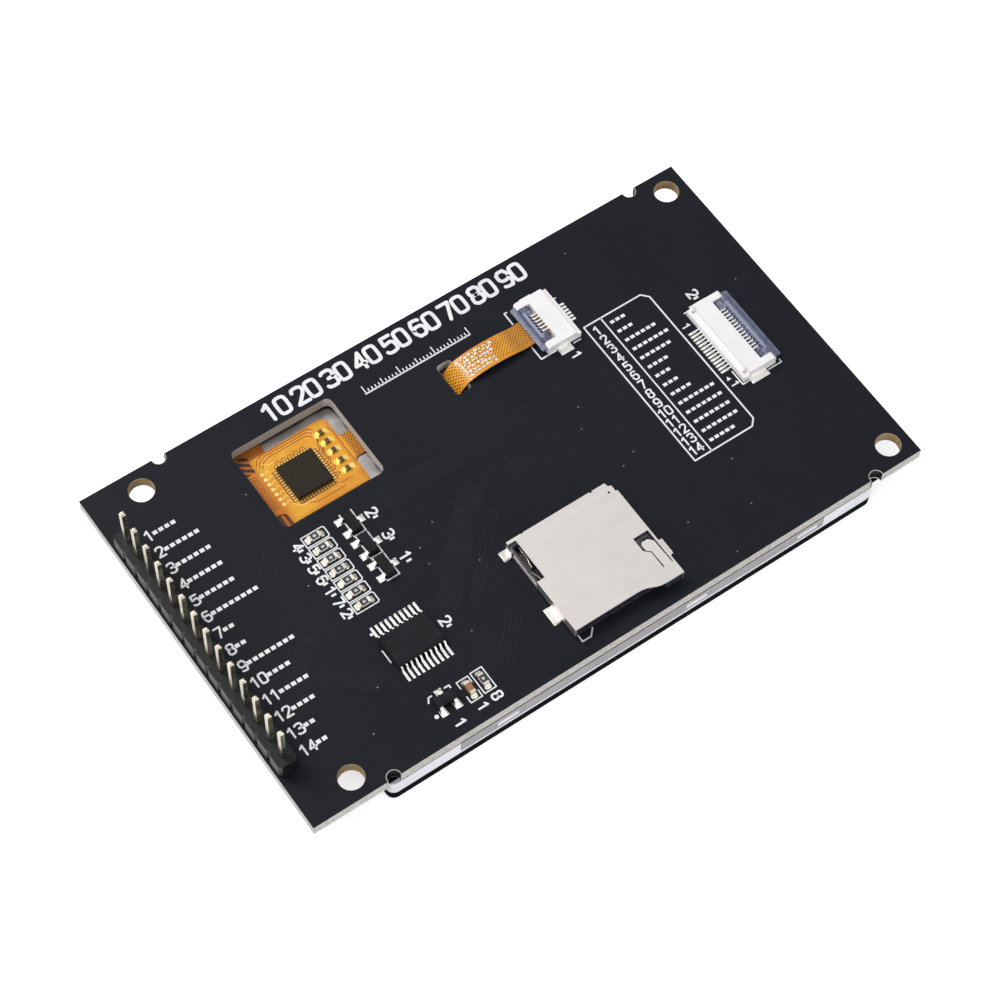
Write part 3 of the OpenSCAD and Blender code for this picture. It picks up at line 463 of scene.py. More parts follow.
# %% A finish under construction
class Finish:
    """A material under construction: its tree, its shader and its place on the surface."""

    def __init__(self, name):
        self.material = bpy.data.materials.new(name)
        self.material.use_nodes = True
        self.tree = self.material.node_tree
        self.shader = self.tree.nodes["Principled BSDF"]
        self.where = self.tree.nodes.new("ShaderNodeTexCoord").outputs["Object"]

    def use(self, tree_group, output, **values):
        """Places a node group with its own values, and returns one of its outputs."""
        node = self.tree.nodes.new("ShaderNodeGroup")
        node.node_tree = tree_group
        self.tree.links.new(self.where, node.inputs["Where"])
        for label, value in values.items():
            put(self.tree, value, node.inputs[label.replace("_", " ")])
        return node.outputs[output]

    def colour(self, value):
        put(self.tree, value, self.shader.inputs["Base Color"])

    def set(self, **values):
        """Constant values of the shader, with underscores for the spaces in their names."""
        for label, value in values.items():
            self.shader.inputs[label.replace("_", " ")].default_value = value

    def roughness(self, source, low, high):
        rough = spread(self.tree, source, 0.3, 0.7, low, high)
        put(self.tree, rough, self.shader.inputs["Roughness"])

    def bump(self, height, distance):
        node = self.tree.nodes.new("ShaderNodeBump")
        node.inputs["Strength"].default_value = 1.0
        node.inputs["Distance"].default_value = distance
        put(self.tree, height, node.inputs["Height"])
        self.tree.links.new(node.outputs[0], self.shader.inputs["Normal"])


DUST_COLOUR = (0.5, 0.5, 0.49)


def plain_finish(name, dark, light, rough=(0.4, 0.6), grain=9000.0, depth=0.000004,
                 wear=None, dust=0.2, **settings):
    """Moulded, printed or lacquered surface with grain, wear and dust."""
    finish = Finish(name)
    tree = finish.tree
    texture = finish.use(GRAIN, "Value", Scale=grain)
    drift = spread(tree, noise(tree, finish.where, grain * 0.04, 2.0), 0.35, 0.65)
    colour = blend_colour(tree, mean(tree, drift, texture), dark, light)
    if wear is not None:
        colour = blend_colour(tree, finish.use(EDGE_WEAR, "Mask", Amount=0.7), colour, wear)
    if dust:
        colour = blend_colour(tree, finish.use(DUST, "Mask", Amount=dust), colour, DUST_COLOUR)
    finish.colour(colour)
    finish.roughness(texture, *rough)
    finish.bump(texture, depth)
    finish.set(Metallic=0.0, **settings)
    return finish


print("recipe ready")

# %% [markdown]
# ## Plastics, inks and ceramics
# Each has two close tones that its grain drifts between. They are given as screen values
# from 0 to 255, which are easy to read off a paint chart, and turned into the linear
# values that Blender works in. Large flat faces get no edge wear, because Pointiness is
# worked out at corners only and smears over a big face.

# %% Plain surfaces
def tone(red, green, blue):
    """A screen colour, 0 to 255, as linear numbers."""
    return tuple(((v / 255 + 0.055) / 1.055) ** 2.4 if v > 10 else v / 255 / 12.92
                 for v in (red, green, blue))


INK_WHITE = plain_finish("print_white", tone(226, 228, 232), tone(246, 246, 247), (0.5, 0.75),
                         grain=14000, depth=0.000003, dust=0.05)
HEADER_BLACK = plain_finish("header_black", tone(11, 11, 13), tone(20, 20, 23), (0.4, 0.55),
                            dust=0.1, Specular_IOR_Level=0.3)
CHIP_BLACK = plain_finish("chip_black", tone(24, 24, 28), tone(32, 32, 37), (0.6, 0.8), grain=32000,
                          depth=0.000002, dust=0.08, Specular_IOR_Level=0.15)
IVORY = plain_finish("connector_ivory", tone(247, 242, 241), tone(254, 251, 251), (0.42, 0.55),
                     grain=16000, depth=0.000002, dust=0.03, Subsurface_Weight=0.05)
# The latch's paler edge tone is partly wear and partly a painted highlight along its edges.
SLATE = plain_finish("latch_slate", tone(66, 71, 96), tone(90, 96, 122), (0.34, 0.5), grain=14000,
                     depth=0.000003, wear=tone(160, 165, 188), dust=0.1)
CARD_BLACK = plain_finish("card_black", tone(20, 18, 28), tone(38, 34, 48), (0.35, 0.55),
                          wear=tone(80, 76, 92))
LAMP_WHITE = plain_finish("display_white", tone(222, 219, 230), tone(240, 238, 244), (0.3, 0.5),
                          grain=5000, wear=tone(250, 250, 252), dust=0.1)
FOAM = plain_finish("tape_foam", tone(8, 8, 9), tone(18, 18, 20), (0.85, 0.98), grain=20000,
                    depth=0.00001, dust=0.1, Specular_IOR_Level=0.15)
ALUMINA = plain_finish("resistor_alumina", tone(214, 210, 200), tone(232, 229, 220), (0.5, 0.7),
                       grain=20000, dust=0.05)
RESIST_BLACK = plain_finish("resistor_black", tone(24, 23, 25), tone(44, 43, 45), (0.25, 0.45),
                            grain=20000, dust=0.05)
MARK_GREY = plain_finish("resistor_mark", tone(170, 172, 178), tone(205, 206, 210), (0.4, 0.6),
                         grain=24000, dust=0)
CAPACITOR_TAN = plain_finish("capacitor_tan", tone(142, 92, 66), tone(178, 122, 92), (0.35, 0.55),
                             grain=20000, dust=0.05)
print("plain finishes", len(bpy.data.materials))

# %% [markdown]
# ## Painted highlight on the ridge of the latches
# A flip latch is lifted by its ridge. The polished flat top of the ridge catches the light,
# and that highlight is painted in as a paler tone. The patch group lays that tone on a
# narrow band of each latch, over the finish that is already there.

# %% Painted highlight on the ridge
RIDGE_X = {"spare_connector_latch": (35.6, 36.1), "touch_connector_latch": (14.2, 14.6)}
RIDGE_ENDS = {"spare_connector_latch": (-3.7, 4.2), "touch_connector_latch": (12.5, 16.6)}
# The ridge tone is a painted highlight: the light off the polished top of the ridge.
RIDGE_HIGHLIGHT_TONE, RIDGE_HIGHLIGHT_SHARE = tone(172, 174, 194), 0.7
for latch, (x_low, x_high) in RIDGE_X.items():
    y_low, y_high = RIDGE_ENDS[latch]
    ridge = SLATE.use(PATCH, "Mask", X_low=x_low, X_high=x_high, Y_low=y_low, Y_high=y_high,
                      Border=0.08)
    before = SLATE.shader.inputs["Base Color"].links[0].from_socket
    SLATE.colour(blend_colour(SLATE.tree, calc(SLATE.tree, "MULTIPLY", ridge, RIDGE_HIGHLIGHT_SHARE),
                              before, RIDGE_HIGHLIGHT_TONE))
print("latches with a ridge", list(RIDGE_X))

# %% [markdown]
# ## Metals
# Tinned leads are soft and bright, gold plating is smooth and warm, and stamped sheet
# shows the lines of its rolling and a few fine scratches. A metal's own colour sets what it
# mirrors, so the pale studio gives most of its look.

# %% Metals
def metal_finish(name, dark, light, rough=(0.2, 0.4), scratches=0.5, depth=0.000003, spots=0.3):
    """Plated or stamped metal with rolled lines, scratches and duller spots."""
    finish = Finish(name)
    tree = finish.tree
    lines = finish.use(DRAWN, "Value")
    texture = finish.use(GRAIN, "Value", Scale=5000.0)
    dull = spread(tree, noise(tree, finish.where, 420.0, 3.0), 0.35, 0.75)
    fine = noise(tree, stretched(tree, finish.where, (3.2, 0.12, 1.0)), 2600.0, 2.0)
    scratch = spread(tree, fine, 0.70, 0.74, 0.0, scratches)
    colour = blend_colour(tree, weighted(tree, lines, 1 - spots, dull, spots), dark, light)
    finish.colour(blend_colour(tree, scratch, colour, tuple(min(1.0, v * 1.25) for v in light)))
    finish.roughness(weighted(tree, texture, 1 - spots, dull, spots), *rough)
    finish.bump(calc(tree, "ADD", lines, scratch), depth)
    finish.set(Metallic=1.0)
    return finish


SMOOTH = 0.0000006
TIN = metal_finish("tin_solder", tone(234, 233, 230), tone(254, 254, 252), (0.34, 0.46), 0.0,
                   SMOOTH, 0.15)
PIN_METAL = metal_finish("pin_champagne", tone(176, 168, 148), tone(226, 220, 204), (0.22, 0.4), 0.3)
GOLD = metal_finish("gold_plate", tone(236, 196, 84), tone(255, 236, 150), (0.3, 0.42), 0.0, SMOOTH)
NICKEL = metal_finish("socket_nickel", tone(212, 206, 203), tone(225, 220, 218), (0.39, 0.44), 0.06,
                      0.0000004, 0.06)
SPRING = metal_finish("spring_steel", tone(150, 150, 152), tone(196, 196, 200), (0.25, 0.4), 0.2)
PLATE = metal_finish("back_plate_steel", tone(150, 147, 148), tone(205, 201, 200), (0.3, 0.48), 0.5)
# The folded sides are the same steel as the flat, in darker tones as painted shade.
FLANK_SHADE = metal_finish("back_plate_flank", tone(118, 116, 119), tone(176, 174, 178), (0.3, 0.48), 0.5)
LEAF = metal_finish("card_contact_plate", tone(176, 170, 156), tone(216, 211, 198), (0.22, 0.36), 0.1)
TIN_CREAM = metal_finish("solder_cream", tone(206, 201, 186), tone(242, 239, 228), (0.3, 0.45), 0.0,
                         SMOOTH)
print("materials so far", len(bpy.data.materials))

# %% [markdown]
# ## The board's own surface
# Solder mask is a thin near-black lacquer on both faces, while the sawn and routed edges
# show the pale woven laminate. One material covers both: the direction of the face picks
# between them, so the mask stops exactly where the face turns over. The far wall of the
# window faces away from the key lamp, and its laminate is darkened with painted shade.

# %% Solder mask and laminate
LAMINATE_DARK, LAMINATE_PALE = tone(138, 132, 124), tone(222, 219, 212)
LAMINATE_RUBBED = tone(240, 239, 235)
# Tone and share of the painted shade on the window's far wall.
FAR_WALL_SHADE_TONE, FAR_WALL_SHADE_SHARE = tone(92, 78, 70), 0.5
MASK_DUST = (0.25, 0.26, 0.28)


def make_board_finish(name, mask_low, mask_high):
    finish = Finish(name)
    tree = finish.tree
    normal = tree.nodes.new("ShaderNodeNewGeometry").outputs["True Normal"]
    facing = spread(tree, calc(tree, "ABSOLUTE", along_axes(tree, normal)[2]), 0.75, 0.9)
    edge = inverse(tree, facing)
    texture = finish.use(GRAIN, "Value", Scale=11000.0)
    cloud = spread(tree, noise(tree, finish.where, 95.0, 3.0, 0.6), 0.3, 0.7)
    weave = noise(tree, stretched(tree, finish.where, (1.0, 1.0, 9.0)), 1400.0, 4.0, 0.7)
    mask = blend_colour(tree, mean(tree, cloud, texture), mask_low, mask_high)
    dust = finish.use(DUST, "Mask", Amount=0.05, Scale=1900.0)
    mask = blend_colour(tree, dust, mask, MASK_DUST)
    glass = blend_colour(tree, weave, LAMINATE_DARK, LAMINATE_PALE)
    rubbed = finish.use(EDGE_WEAR, "Mask", Amount=0.4)
    glass = blend_colour(tree, rubbed, glass, LAMINATE_RUBBED)
    # Painted shade on the window's far wall, which faces away from the key lamp.
    far_wall_shade = finish.use(PATCH, "Mask", X_low=WINDOW_LOW.x - 0.7, X_high=WINDOW_HIGH.x - 0.3,
                       Y_low=WINDOW_HIGH.y - 0.9, Y_high=WINDOW_HIGH.y + 0.7, Border=0.5)
    glass = blend_colour(tree, calc(tree, "MULTIPLY", far_wall_shade, FAR_WALL_SHADE_SHARE), glass, FAR_WALL_SHADE_TONE)
    finish.colour(blend_colour(tree, facing, glass, mask))
    smooth = spread(tree, texture, 0.3, 0.7, 0.42, 0.56)
    finish.set(Specular_IOR_Level=0.13)
    put(tree, weighted(tree, facing, smooth, edge, 0.75), finish.shader.inputs["Roughness"])
    finish.bump(weighted(tree, texture, 0.5, weave, edge), 0.000005)
    return finish


BOARD = make_board_finish("solder_mask", tone(20, 22, 29), tone(26, 28, 35))
RELIEF = plain_finish("mask_over_copper", tone(29, 31, 38), tone(34, 37, 44), (0.4, 0.52),
                      grain=11000, dust=0.0, Specular_IOR_Level=0.13)
TENTED = plain_finish("mask_over_via", tone(12, 13, 17), tone(20, 22, 28), (0.4, 0.5), dust=0.0,
                      Specular_IOR_Level=0.13)
TAN = plain_finish("drilled_laminate", tone(118, 92, 50), tone(182, 152, 100), (0.55, 0.8),
                   grain=5200, depth=0.00002, dust=0.0)
BOARD_EDGE = plain_finish("bare_laminate_rim", tone(176, 172, 164), tone(208, 205, 198), (0.6, 0.8),
                          dust=0.0)
print("board finishes ready")

# %% [markdown]
# ## The amber film
# A flexible circuit is copper between two sheets of amber polyimide. Where copper lies
# under the film it looks orange and bright, and where there is none it looks brown. A
# meshed ground plane shows as a fine diagonal hatch along its borders and on the tail, so
# the hatch group is placed inside rectangles, and the rest is left as plain copper plane.

# %% Amber film
RIM_TONE, RIM_SHARE = tone(190, 88, 20), 0.6
# Tone and share of the painted shade in the shaded rectangles.
FILM_SHADE_TONE, FILM_SHADE_SHARE = tone(138, 66, 18), 0.45
GAP_TONE, GAP_SHARE, STRIPE_SHARE = tone(86, 36, 10), 0.9, 0.92


def make_film(name, bright, deep, meshed=(), lit=(), shaded=(), striped=()):
    """Rectangles are (x low, x high, y low, y high, border). The film is deepest outside the
    lit ones, and painted shade darkens it inside the shaded ones. A striped one also has its X
    share, Y share, pitch and colour."""
    finish = Finish(name)
    tree = finish.tree

    def area(rectangles):
        mask = 0.0
        for rectangle in rectangles:
            inside = finish.use(PATCH, "Mask", **dict(zip(
                ("X_low", "X_high", "Y_low", "Y_high", "Border"), rectangle)))
            mask = calc(tree, "MAXIMUM", mask, inside)
        return mask

    texture = finish.use(GRAIN, "Value", Scale=7000.0)
    wave = spread(tree, noise(tree, finish.where, 260.0, 3.0, 0.6), 0.3, 0.7)
    colour = blend_colour(tree, mean(tree, wave, texture), deep, bright)
    if lit:
        rim = calc(tree, "MULTIPLY", inverse(tree, area(lit)), RIM_SHARE)
        colour = blend_colour(tree, rim, colour, RIM_TONE)
    # Painted shade inside the shaded rectangles.
    dim = calc(tree, "MULTIPLY", area(shaded), FILM_SHADE_SHARE)
    colour = blend_colour(tree, dim, colour, FILM_SHADE_TONE)
    lines = finish.use(HATCH, "Mask", Pitch=0.45, Line=0.46)
    gaps = calc(tree, "MULTIPLY", area(meshed), inverse(tree, lines))
    colour = blend_colour(tree, calc(tree, "MULTIPLY", gaps, GAP_SHARE), colour, GAP_TONE)
    for *rectangle, x_share, y_share, pitch, dark in striped:
        bands = finish.use(STRIPES, "Mask", X_share=x_share, Y_share=y_share, Pitch=pitch, Line=0.55)
        both = calc(tree, "MULTIPLY", bands, area([rectangle]))
        colour = blend_colour(tree, calc(tree, "MULTIPLY", both, STRIPE_SHARE), colour, dark)
    finish.colour(colour)
    finish.roughness(texture, 0.22, 0.36)
    finish.bump(calc(tree, "ADD", calc(tree, "MULTIPLY", texture, 0.4), lines), 0.000002)
    finish.set(Coat_Weight=0.2, Coat_Roughness=0.2, Specular_IOR_Level=0.3)
    return finish


print("film recipe ready")

# %% [markdown]
# ## Where the film changes
# The touch circuit is brightest over its ground plane in the window and along the tail.
# Painted shade darkens it where it dives under the board and where it bends up to its
# connector, and its mesh shows at the window's left end, at the slot and on the tail. The
# display's own circuit lies lower, in shade, and its film is painted in deeper tones for
# that shade, with slanting tracks at one corner of the window and straight ones at the other.

# %% The two films and what lies on them
IN_WINDOW, ON_TAIL = (-23.5, -12.5, 8.8, 19.8, 1.0), (-13.0, 17.0, 12.6, 16.5, 0.7)
MESHES = [(-24.9, -23.7, 11.8, 17.2, 0.05), (-12.4, -9.5, 12.9, 16.3, 0.05),
          (1.5, 14.2, 13.05, 16.05, 0.05)]
# Painted shade: where the film dives under the board and beside the connector's latch.
SHADES = [(-12.4, -9.5, 12.0, 17.2, 0.3), (10.2, 17.0, 11.4, 17.7, 1.2), (-27.0, -24.4, 10, 19, 0.4)]
SLANTING = (-26.0, -23.2, 17.0, 20.4, 0.1, 1.0, 1.4, 1.3, tone(30, 18, 12))
STRAIGHT = (-26.0, -22.6, 7.0, 12.0, 0.1, 1.0, 0.0, 0.85, tone(78, 36, 14))
FILM = make_film("amber_film", tone(252, 192, 66), tone(220, 138, 34), MESHES,
                 lit=[IN_WINDOW, ON_TAIL], shaded=SHADES)
# The lower film's deeper tones are painted shade, since it lies lower than the touch circuit.
UNDER_FILM = make_film("amber_film_below", tone(204, 120, 36), tone(146, 76, 20),
                       striped=[SLANTING, STRAIGHT])
FILM_TRACK = plain_finish("film_track", tone(128, 60, 16), tone(166, 86, 24), (0.25, 0.4),
                          grain=9000, dust=0.0)
FLEX_CHIP = plain_finish("touch_chip_moulding", tone(40, 34, 27), tone(47, 41, 33), (0.6, 0.78),
                         grain=32000, depth=0.0000015, dust=0.0,
                         Specular_IOR_Level=0.15)
FLEX_CERAMIC = plain_finish("flex_ceramic", tone(52, 44, 28), tone(84, 72, 48), (0.4, 0.6),
                            grain=20000, dust=0.0)
print("films", FILM.material.name, UNDER_FILM.material.name)

# %% [markdown]
# ## Glass
# The face is one black-printed cover glass. Switched off, the picture area is only a little
# lighter than its black border, and both show through the same polished surface. Fingers
# leave a faint smear, which is noise drawn out along Y.

# %% Face glass
PICTURE = {"X_low": -24.4, "X_high": 33.2, "Y_low": -21.6, "Y_high": 21.6, "Border": 0.15}
SMEAR_TONE = (0.4, 0.4, 0.42)


def make_face_glass():
    finish = Finish("cover_glass_black")
    tree = finish.tree
    picture = finish.use(PATCH, "Mask", **PICTURE)
    texture = finish.use(GRAIN, "Value", Scale=2500.0)
    border = blend_colour(tree, texture, tone(6, 6, 8), tone(12, 12, 14))
    inside = blend_colour(tree, texture, tone(30, 33, 40), tone(40, 43, 50))
    colour = blend_colour(tree, picture, border, inside)
    cloud = noise(tree, stretched(tree, finish.where, (1.0, 0.35, 1.0)), 60.0, 4.0, 0.6)
    smear = spread(tree, cloud, 0.5, 0.8)
    finish.colour(blend_colour(tree, calc(tree, "MULTIPLY", smear, 0.05), colour, SMEAR_TONE))
    put(tree, calc(tree, "ADD", calc(tree, "MULTIPLY", smear, 0.12), 0.05),
        finish.shader.inputs["Roughness"])
    finish.bump(texture, 0.0000006)
    finish.set(Coat_Weight=0.5, Coat_Roughness=0.03)
    return finish


FACE = make_face_glass()
EDGE_GLASS = plain_finish("glass_edge", tone(3, 3, 4), tone(9, 9, 11), (0.7, 0.85), grain=3000,
                          depth=0.000001, dust=0.0, Specular_IOR_Level=0.03)
CLEAR = plain_finish("diffuser", tone(224, 226, 228), tone(242, 243, 244), (0.35, 0.5), dust=0.0)
print("glass ready,", len(bpy.data.materials), "materials")

# %% [markdown]
# ## Building small solids
# The print, pads and solder are hundreds of tiny closed shapes. Modelling each as an object
# would be slow, so one helper collects them in a single mesh. It makes six kinds: a loft
# between rings, a prism over an outline, a block, a round pad, a strip of even width along a
# path and a pen stroke with round ends. Each solid is closed, so it renders and exports
# without holes.

# %% The collector
STROKE_STEP = 0.0012


def circle(x, y, radius, sides):
    """Points round a circle, anticlockwise from the +X side."""
    turn = [2 * math.pi * i / sides for i in range(sides)]
    return [(x + radius * math.cos(a), y + radius * math.sin(a)) for a in turn]


class Solids:
    """Collects closed solids, in millimetres, into one mesh with one or more finishes."""

    def __init__(self, *finishes):
        self.mesh, self.finishes, self.count = bmesh.new(), finishes, 0

    def loft(self, rings, use=0, smooth=False):
        """Joins rings of equal length, lowest first and anticlockwise, and caps both ends."""
        loops = [[self.mesh.verts.new(Vector(p) * MM) for p in ring] for ring in rings]
        faces = [self.mesh.faces.new(loops[0][::-1]), self.mesh.faces.new(loops[-1])]
        for low, high in zip(loops, loops[1:]):
            for i in range(len(low)):
                j = (i + 1) % len(low)
                side = self.mesh.faces.new((low[i], low[j], high[j], high[i]))
                side.smooth = smooth
                faces.append(side)
        for face in faces:
            face.material_index = use
        self.count += 1

    def prism(self, outline, low, high, use=0, draft=0.0):
        """An anticlockwise outline from low to high, drawn in by draft at the top."""
        centre = [sum(p[k] for p in outline) / len(outline) for k in (0, 1)]
        top = []
        for p in outline:
            away = Vector((p[0] - centre[0], p[1] - centre[1]))
            away = away.normalized() * draft if away.length > 0 else away
            top.append((p[0] - away.x, p[1] - away.y, high))
        self.loft([[(*p, low) for p in outline], top], use)

    def box(self, x, y, z, use=0, draft=0.0):
        (x0, x1), (y0, y1) = x, y
        self.prism([(x0, y0), (x1, y0), (x1, y1), (x0, y1)], *z, use, draft)

    def disc(self, x, y, radius, low, high, use=0, sides=16):
        self.prism(circle(x, y, radius, sides), low, high, use)

    def strip(self, path, width, low, high, height=None):
        """Even strip along path with mitred corners. height(x, y) drapes it on a surface."""
        points = [Vector(p) for p in path]
        rings = []
        for i, p in enumerate(points):
            ways = [(p - points[i - 1]).normalized()] if i > 0 else []
            ways += [(points[i + 1] - p).normalized()] if i < len(points) - 1 else []
            along = sum(ways, Vector((0, 0))).normalized()
            side = Vector((-along.y, along.x))
            reach = width / 2 / max(0.35, abs(side.dot(Vector((-ways[0].y, ways[0].x)))))
            a, b = p - side * reach, p + side * reach
            base = [height(*q) if height else 0.0 for q in (a, b)]
            rings.append([(a.x, a.y, base[0] + high), (b.x, b.y, base[1] + high),
                          (b.x, b.y, base[1] + low), (a.x, a.y, base[0] + low)])
        self.loft(rings)

    def stroke(self, path, width, low, high, closed=False):
        """Pen line with round ends and bends. Each of its parts stands a hair lower than the
        last one, so no two top faces share a plane."""
        points = [Vector(p) for p in path] + ([Vector(path[0])] if closed else [])
        for k, (a, b) in enumerate(zip(points, points[1:])):
            ahead = math.atan2(b.y - a.y, b.x - a.x)
            outline = []
            for centre, start in ((b, ahead - math.pi / 2), (a, ahead + math.pi / 2)):
                for turn in (start + math.pi * i / 5 for i in range(6)):
                    outline.append((centre.x + width / 2 * math.cos(turn),
                                    centre.y + width / 2 * math.sin(turn)))
            self.prism(outline, low, high - STROKE_STEP * (k % 4))

    def piece(self, name, slot, body="module", nodes=()):
        """Makes the object, gives it its finishes and hangs it on its body."""
        bmesh.ops.recalc_face_normals(self.mesh, faces=self.mesh.faces)
        mesh = bpy.data.meshes.new(name)
        self.mesh.to_mesh(mesh)
        self.mesh.free()
        for finish in self.finishes:
            mesh.materials.append(finish.material)
        piece = bpy.data.objects.new(name, mesh)
        bpy.context.collection.objects.link(piece)
        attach(piece, body)
        if nodes:
            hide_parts(*nodes)
        print(name, self.count, "solids")


print("a circle of 4 points", [(round(x, 1), round(y, 1)) for x, y in circle(0, 0, 1, 4)])

# %% [markdown]
# ## Softened copies of the exact solids
# A CAD solid has edges of zero radius, which catch no light. Real mouldings and stampings
# have a few hundredths of a millimetre there. A copy of the solid gets its flat faces
# merged and its sharp edges bevelled, and stands in for the solid. The bevel only removes
# material, so nothing grows.

# %% Softening
def softened(node, width, finish, angle=30, segments=2, side=None):
    """Copy of a CAD solid with its sharp edges rounded by width, in millimetres. Its upright
    faces take the finish side, where one is given."""
    source = frame["nodes"][node]
    work = bmesh.new()
    work.from_mesh(source.data)
    bmesh.ops.remove_doubles(work, verts=work.verts, dist=2e-7)
    bmesh.ops.dissolve_limit(work, angle_limit=math.radians(0.5), verts=work.verts,
                             edges=work.edges)
    sharp = [e for e in work.edges if len(e.link_faces) == 2
             and e.calc_face_angle(0) > math.radians(angle)]
    bmesh.ops.bevel(work, geom=sharp, offset=width * MM, segments=segments, profile=0.5,
                    affect="EDGES", clamp_overlap=True)
    mesh = bpy.data.meshes.new(node + "_soft")
    work.normal_update()
    for face in work.faces:
        face.material_index = int(side is not None and abs(face.normal.z) < 0.5)
    work.to_mesh(mesh)
    work.free()
    for used in [finish] + ([side] if side else []):
        mesh.materials.append(used.material)
    piece = bpy.data.objects.new(node + "_soft", mesh)
    bpy.context.collection.objects.link(piece)
    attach(piece, body_of(source)[0])
    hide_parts(node)
    return piece


def cover(node, finish):
    """The CAD solid stays as it is and takes a finish."""
    data = frame["nodes"][node].data
    data.materials.clear()
    data.materials.append(finish.material)


# %% [markdown]
# ## The board
# The bare board is a flat plate, so its looks come from small things: the rounded arris
# of its routed edge, the drilled laminate inside the screw holes, the four half-round
# notches, which are darkened with painted shade, and the faint relief of copper tracks
# under the lacquer. Where the holes are comes from the record that travels with the solids.

# %% Board
softened("pcb", 0.05, BOARD, angle=60, segments=1)
holes = next(m for m in frame["record"]["mounts"] if m["name"] == "screw_holes")
hole_middle, hole_radius = Vector(holes["pos_m"]) / MM, holes["dims"]["hole_r_mm"]
hole_step = holes["dims"]["spacing_x_mm"] / 2, holes["dims"]["spacing_y_mm"] / 2
print("screw holes", hole_radius, "mm radius, on", [2 * step for step in hole_step])

# %% Tubes and parts of tubes
def lining(solids, x, y, outer, inner, low, high, use=0, sides=40):
    """A closed tube round an upright axis."""
    loops = [[solids.mesh.verts.new(Vector((*p, z)) * MM) for p in circle(x, y, r, sides)]
             for r, z in ((outer, low), (inner, low), (inner, high), (outer, high))]
    for k in range(4):
        for i in range(sides):
            j, m = (i + 1) % sides, (k + 1) % 4
            face = solids.mesh.faces.new((loops[k][i], loops[k][j], loops[m][j], loops[m][i]))
            face.material_index = use
    solids.count += 1


def arc(x, y, radius, start, sweep, steps):
    """Points on an arc, from the angle start over sweep, in degrees."""
    turn = [math.radians(start + sweep * k / steps) for k in range(steps + 1)]
    return [(x + radius * math.cos(a), y + radius * math.sin(a)) for a in turn]


def half_lining(solids, x, y, outer, inner, low, high, start, use):
    """The part of such a tube that lines a notch, from the angle start."""
    outside, inside = (arc(x, y, r, start, NOTCH_SWEEP, 18) for r in (outer, inner))
    solids.loft([[(*a, low), (*a, high), (*b, high), (*b, low)]
                 for a, b in zip(outside, inside)], use)


print("an arc of 2 steps", [(round(x, 1), round(y, 1)) for x, y in arc(0, 0, 1, 0, 180, 2)])

# %% [markdown]
# ## Linings of the holes and notches
# A drill leaves the laminate bare, so each screw hole gets a thin tan tube just inside its
# wall. A notch gets part of a dark tube as painted shade on its wall, with a pale line at
# its upper rim where the lacquer stops. Its floor is a dark sheet, which is painted shade
# inside the notch.

# %% Linings
NOTCH_R, NOTCH_IN, NOTCH_SWEEP, SHADE_FLOOR_MARGIN = 0.85, 0.15, 197, 25
NOTCH_FROM_SIDES = (0.55, -0.1)
HOLE_WALL, RIM = 0.04, 0.06
linings = Solids(TAN, TENTED, BOARD_EDGE, FOAM)
for sx in (-1, 1):
    for sy in (-1, 1):
        lining(linings, hole_middle.x + sx * hole_step[0], hole_middle.y + sy * hole_step[1],
               hole_radius, hole_radius - HOLE_WALL, UNDER + RIM, TOP - RIM)
panel = limits("display_frame")
low_start = (180 - NOTCH_SWEEP) / 2
for x in (panel[0].x + NOTCH_FROM_SIDES[0], panel[1].x + NOTCH_FROM_SIDES[1]):
    for y, start in ((BOARD_LOW.y + NOTCH_IN, low_start), (BOARD_HIGH.y - NOTCH_IN, low_start + 180)):
        # Painted shade: the dark part of a tube on the notch's wall.
        half_lining(linings, x, y, NOTCH_R + 0.04, NOTCH_R - 0.05, UNDER + RIM, TOP - 0.05, start, 1)
        half_lining(linings, x, y, NOTCH_R + 0.07, NOTCH_R - 0.01, TOP - RIM, TOP + 0.004, start, 2)
        # Painted shade: a dark sheet under the notch, kept in from the ends of its arc.
        shade_floor = arc(x, y, NOTCH_R - 0.06, start + SHADE_FLOOR_MARGIN, NOTCH_SWEEP - 2 * SHADE_FLOOR_MARGIN, 14)
        linings.prism(shade_floor, UNDER - 0.04, UNDER - 0.02, 3)
linings.piece("hole_linings", "board")

# %% [markdown]
# ## Tracks under the lacquer
# Copper is about a thirtieth of a millimetre thick, and the lacquer evens most of that out,
# so a covered track only shows where light grazes its edges. Thin raised strips with the
# same lacquer give that relief. They run in bundles with 45-degree turns, as a layout
# program leaves them, from the header to the parts that they serve.

# %% Tracks
tracks = Solids(RELIEF)


def bundle(points, count, step, width=0.16):
    """Parallel tracks, each moved by step, with the bends kept at 45 degrees."""
    for k in range(count):
        moved = [(x + step[0] * k, y + step[1] * k) for x, y in points]
        tracks.strip(moved, width, *TRACK_Z)


bundle([(29.8, 3.5), (-1.2, 3.5)], 14, (0.0, -0.5), 0.14)
bundle([(-13.9, 6.6), (12.6, 6.6)], 7, (0.0, -0.42), 0.14)
bundle([(-16.6, -9.7), (-4.6, 2.3)], 9, (0.25, -0.25), 0.15)
bundle([(-13.3, -12.0), (-4.0, -2.7)], 3, (0.36, -0.36))
bundle([(-10.2, -15.2), (-15.2, -20.2)], 4, (0.4, -0.4))
bundle([(-38.6, -6.2), (-33.4, -6.2), (-30.6, -3.4), (-27.3, -3.4)], 6, (0.0, -0.5))
bundle([(-38.6, 5.4), (-30.6, 5.4), (-28.6, 7.4), (-28.6, 18.4)], 5, (0.45, -0.45))
bundle([(-38.6, -11.4), (-31.5, -11.4), (-28.6, -14.3), (-25.6, -14.3)], 5, (0.0, 0.5))
tracks.piece("lacquered_tracks", "board")

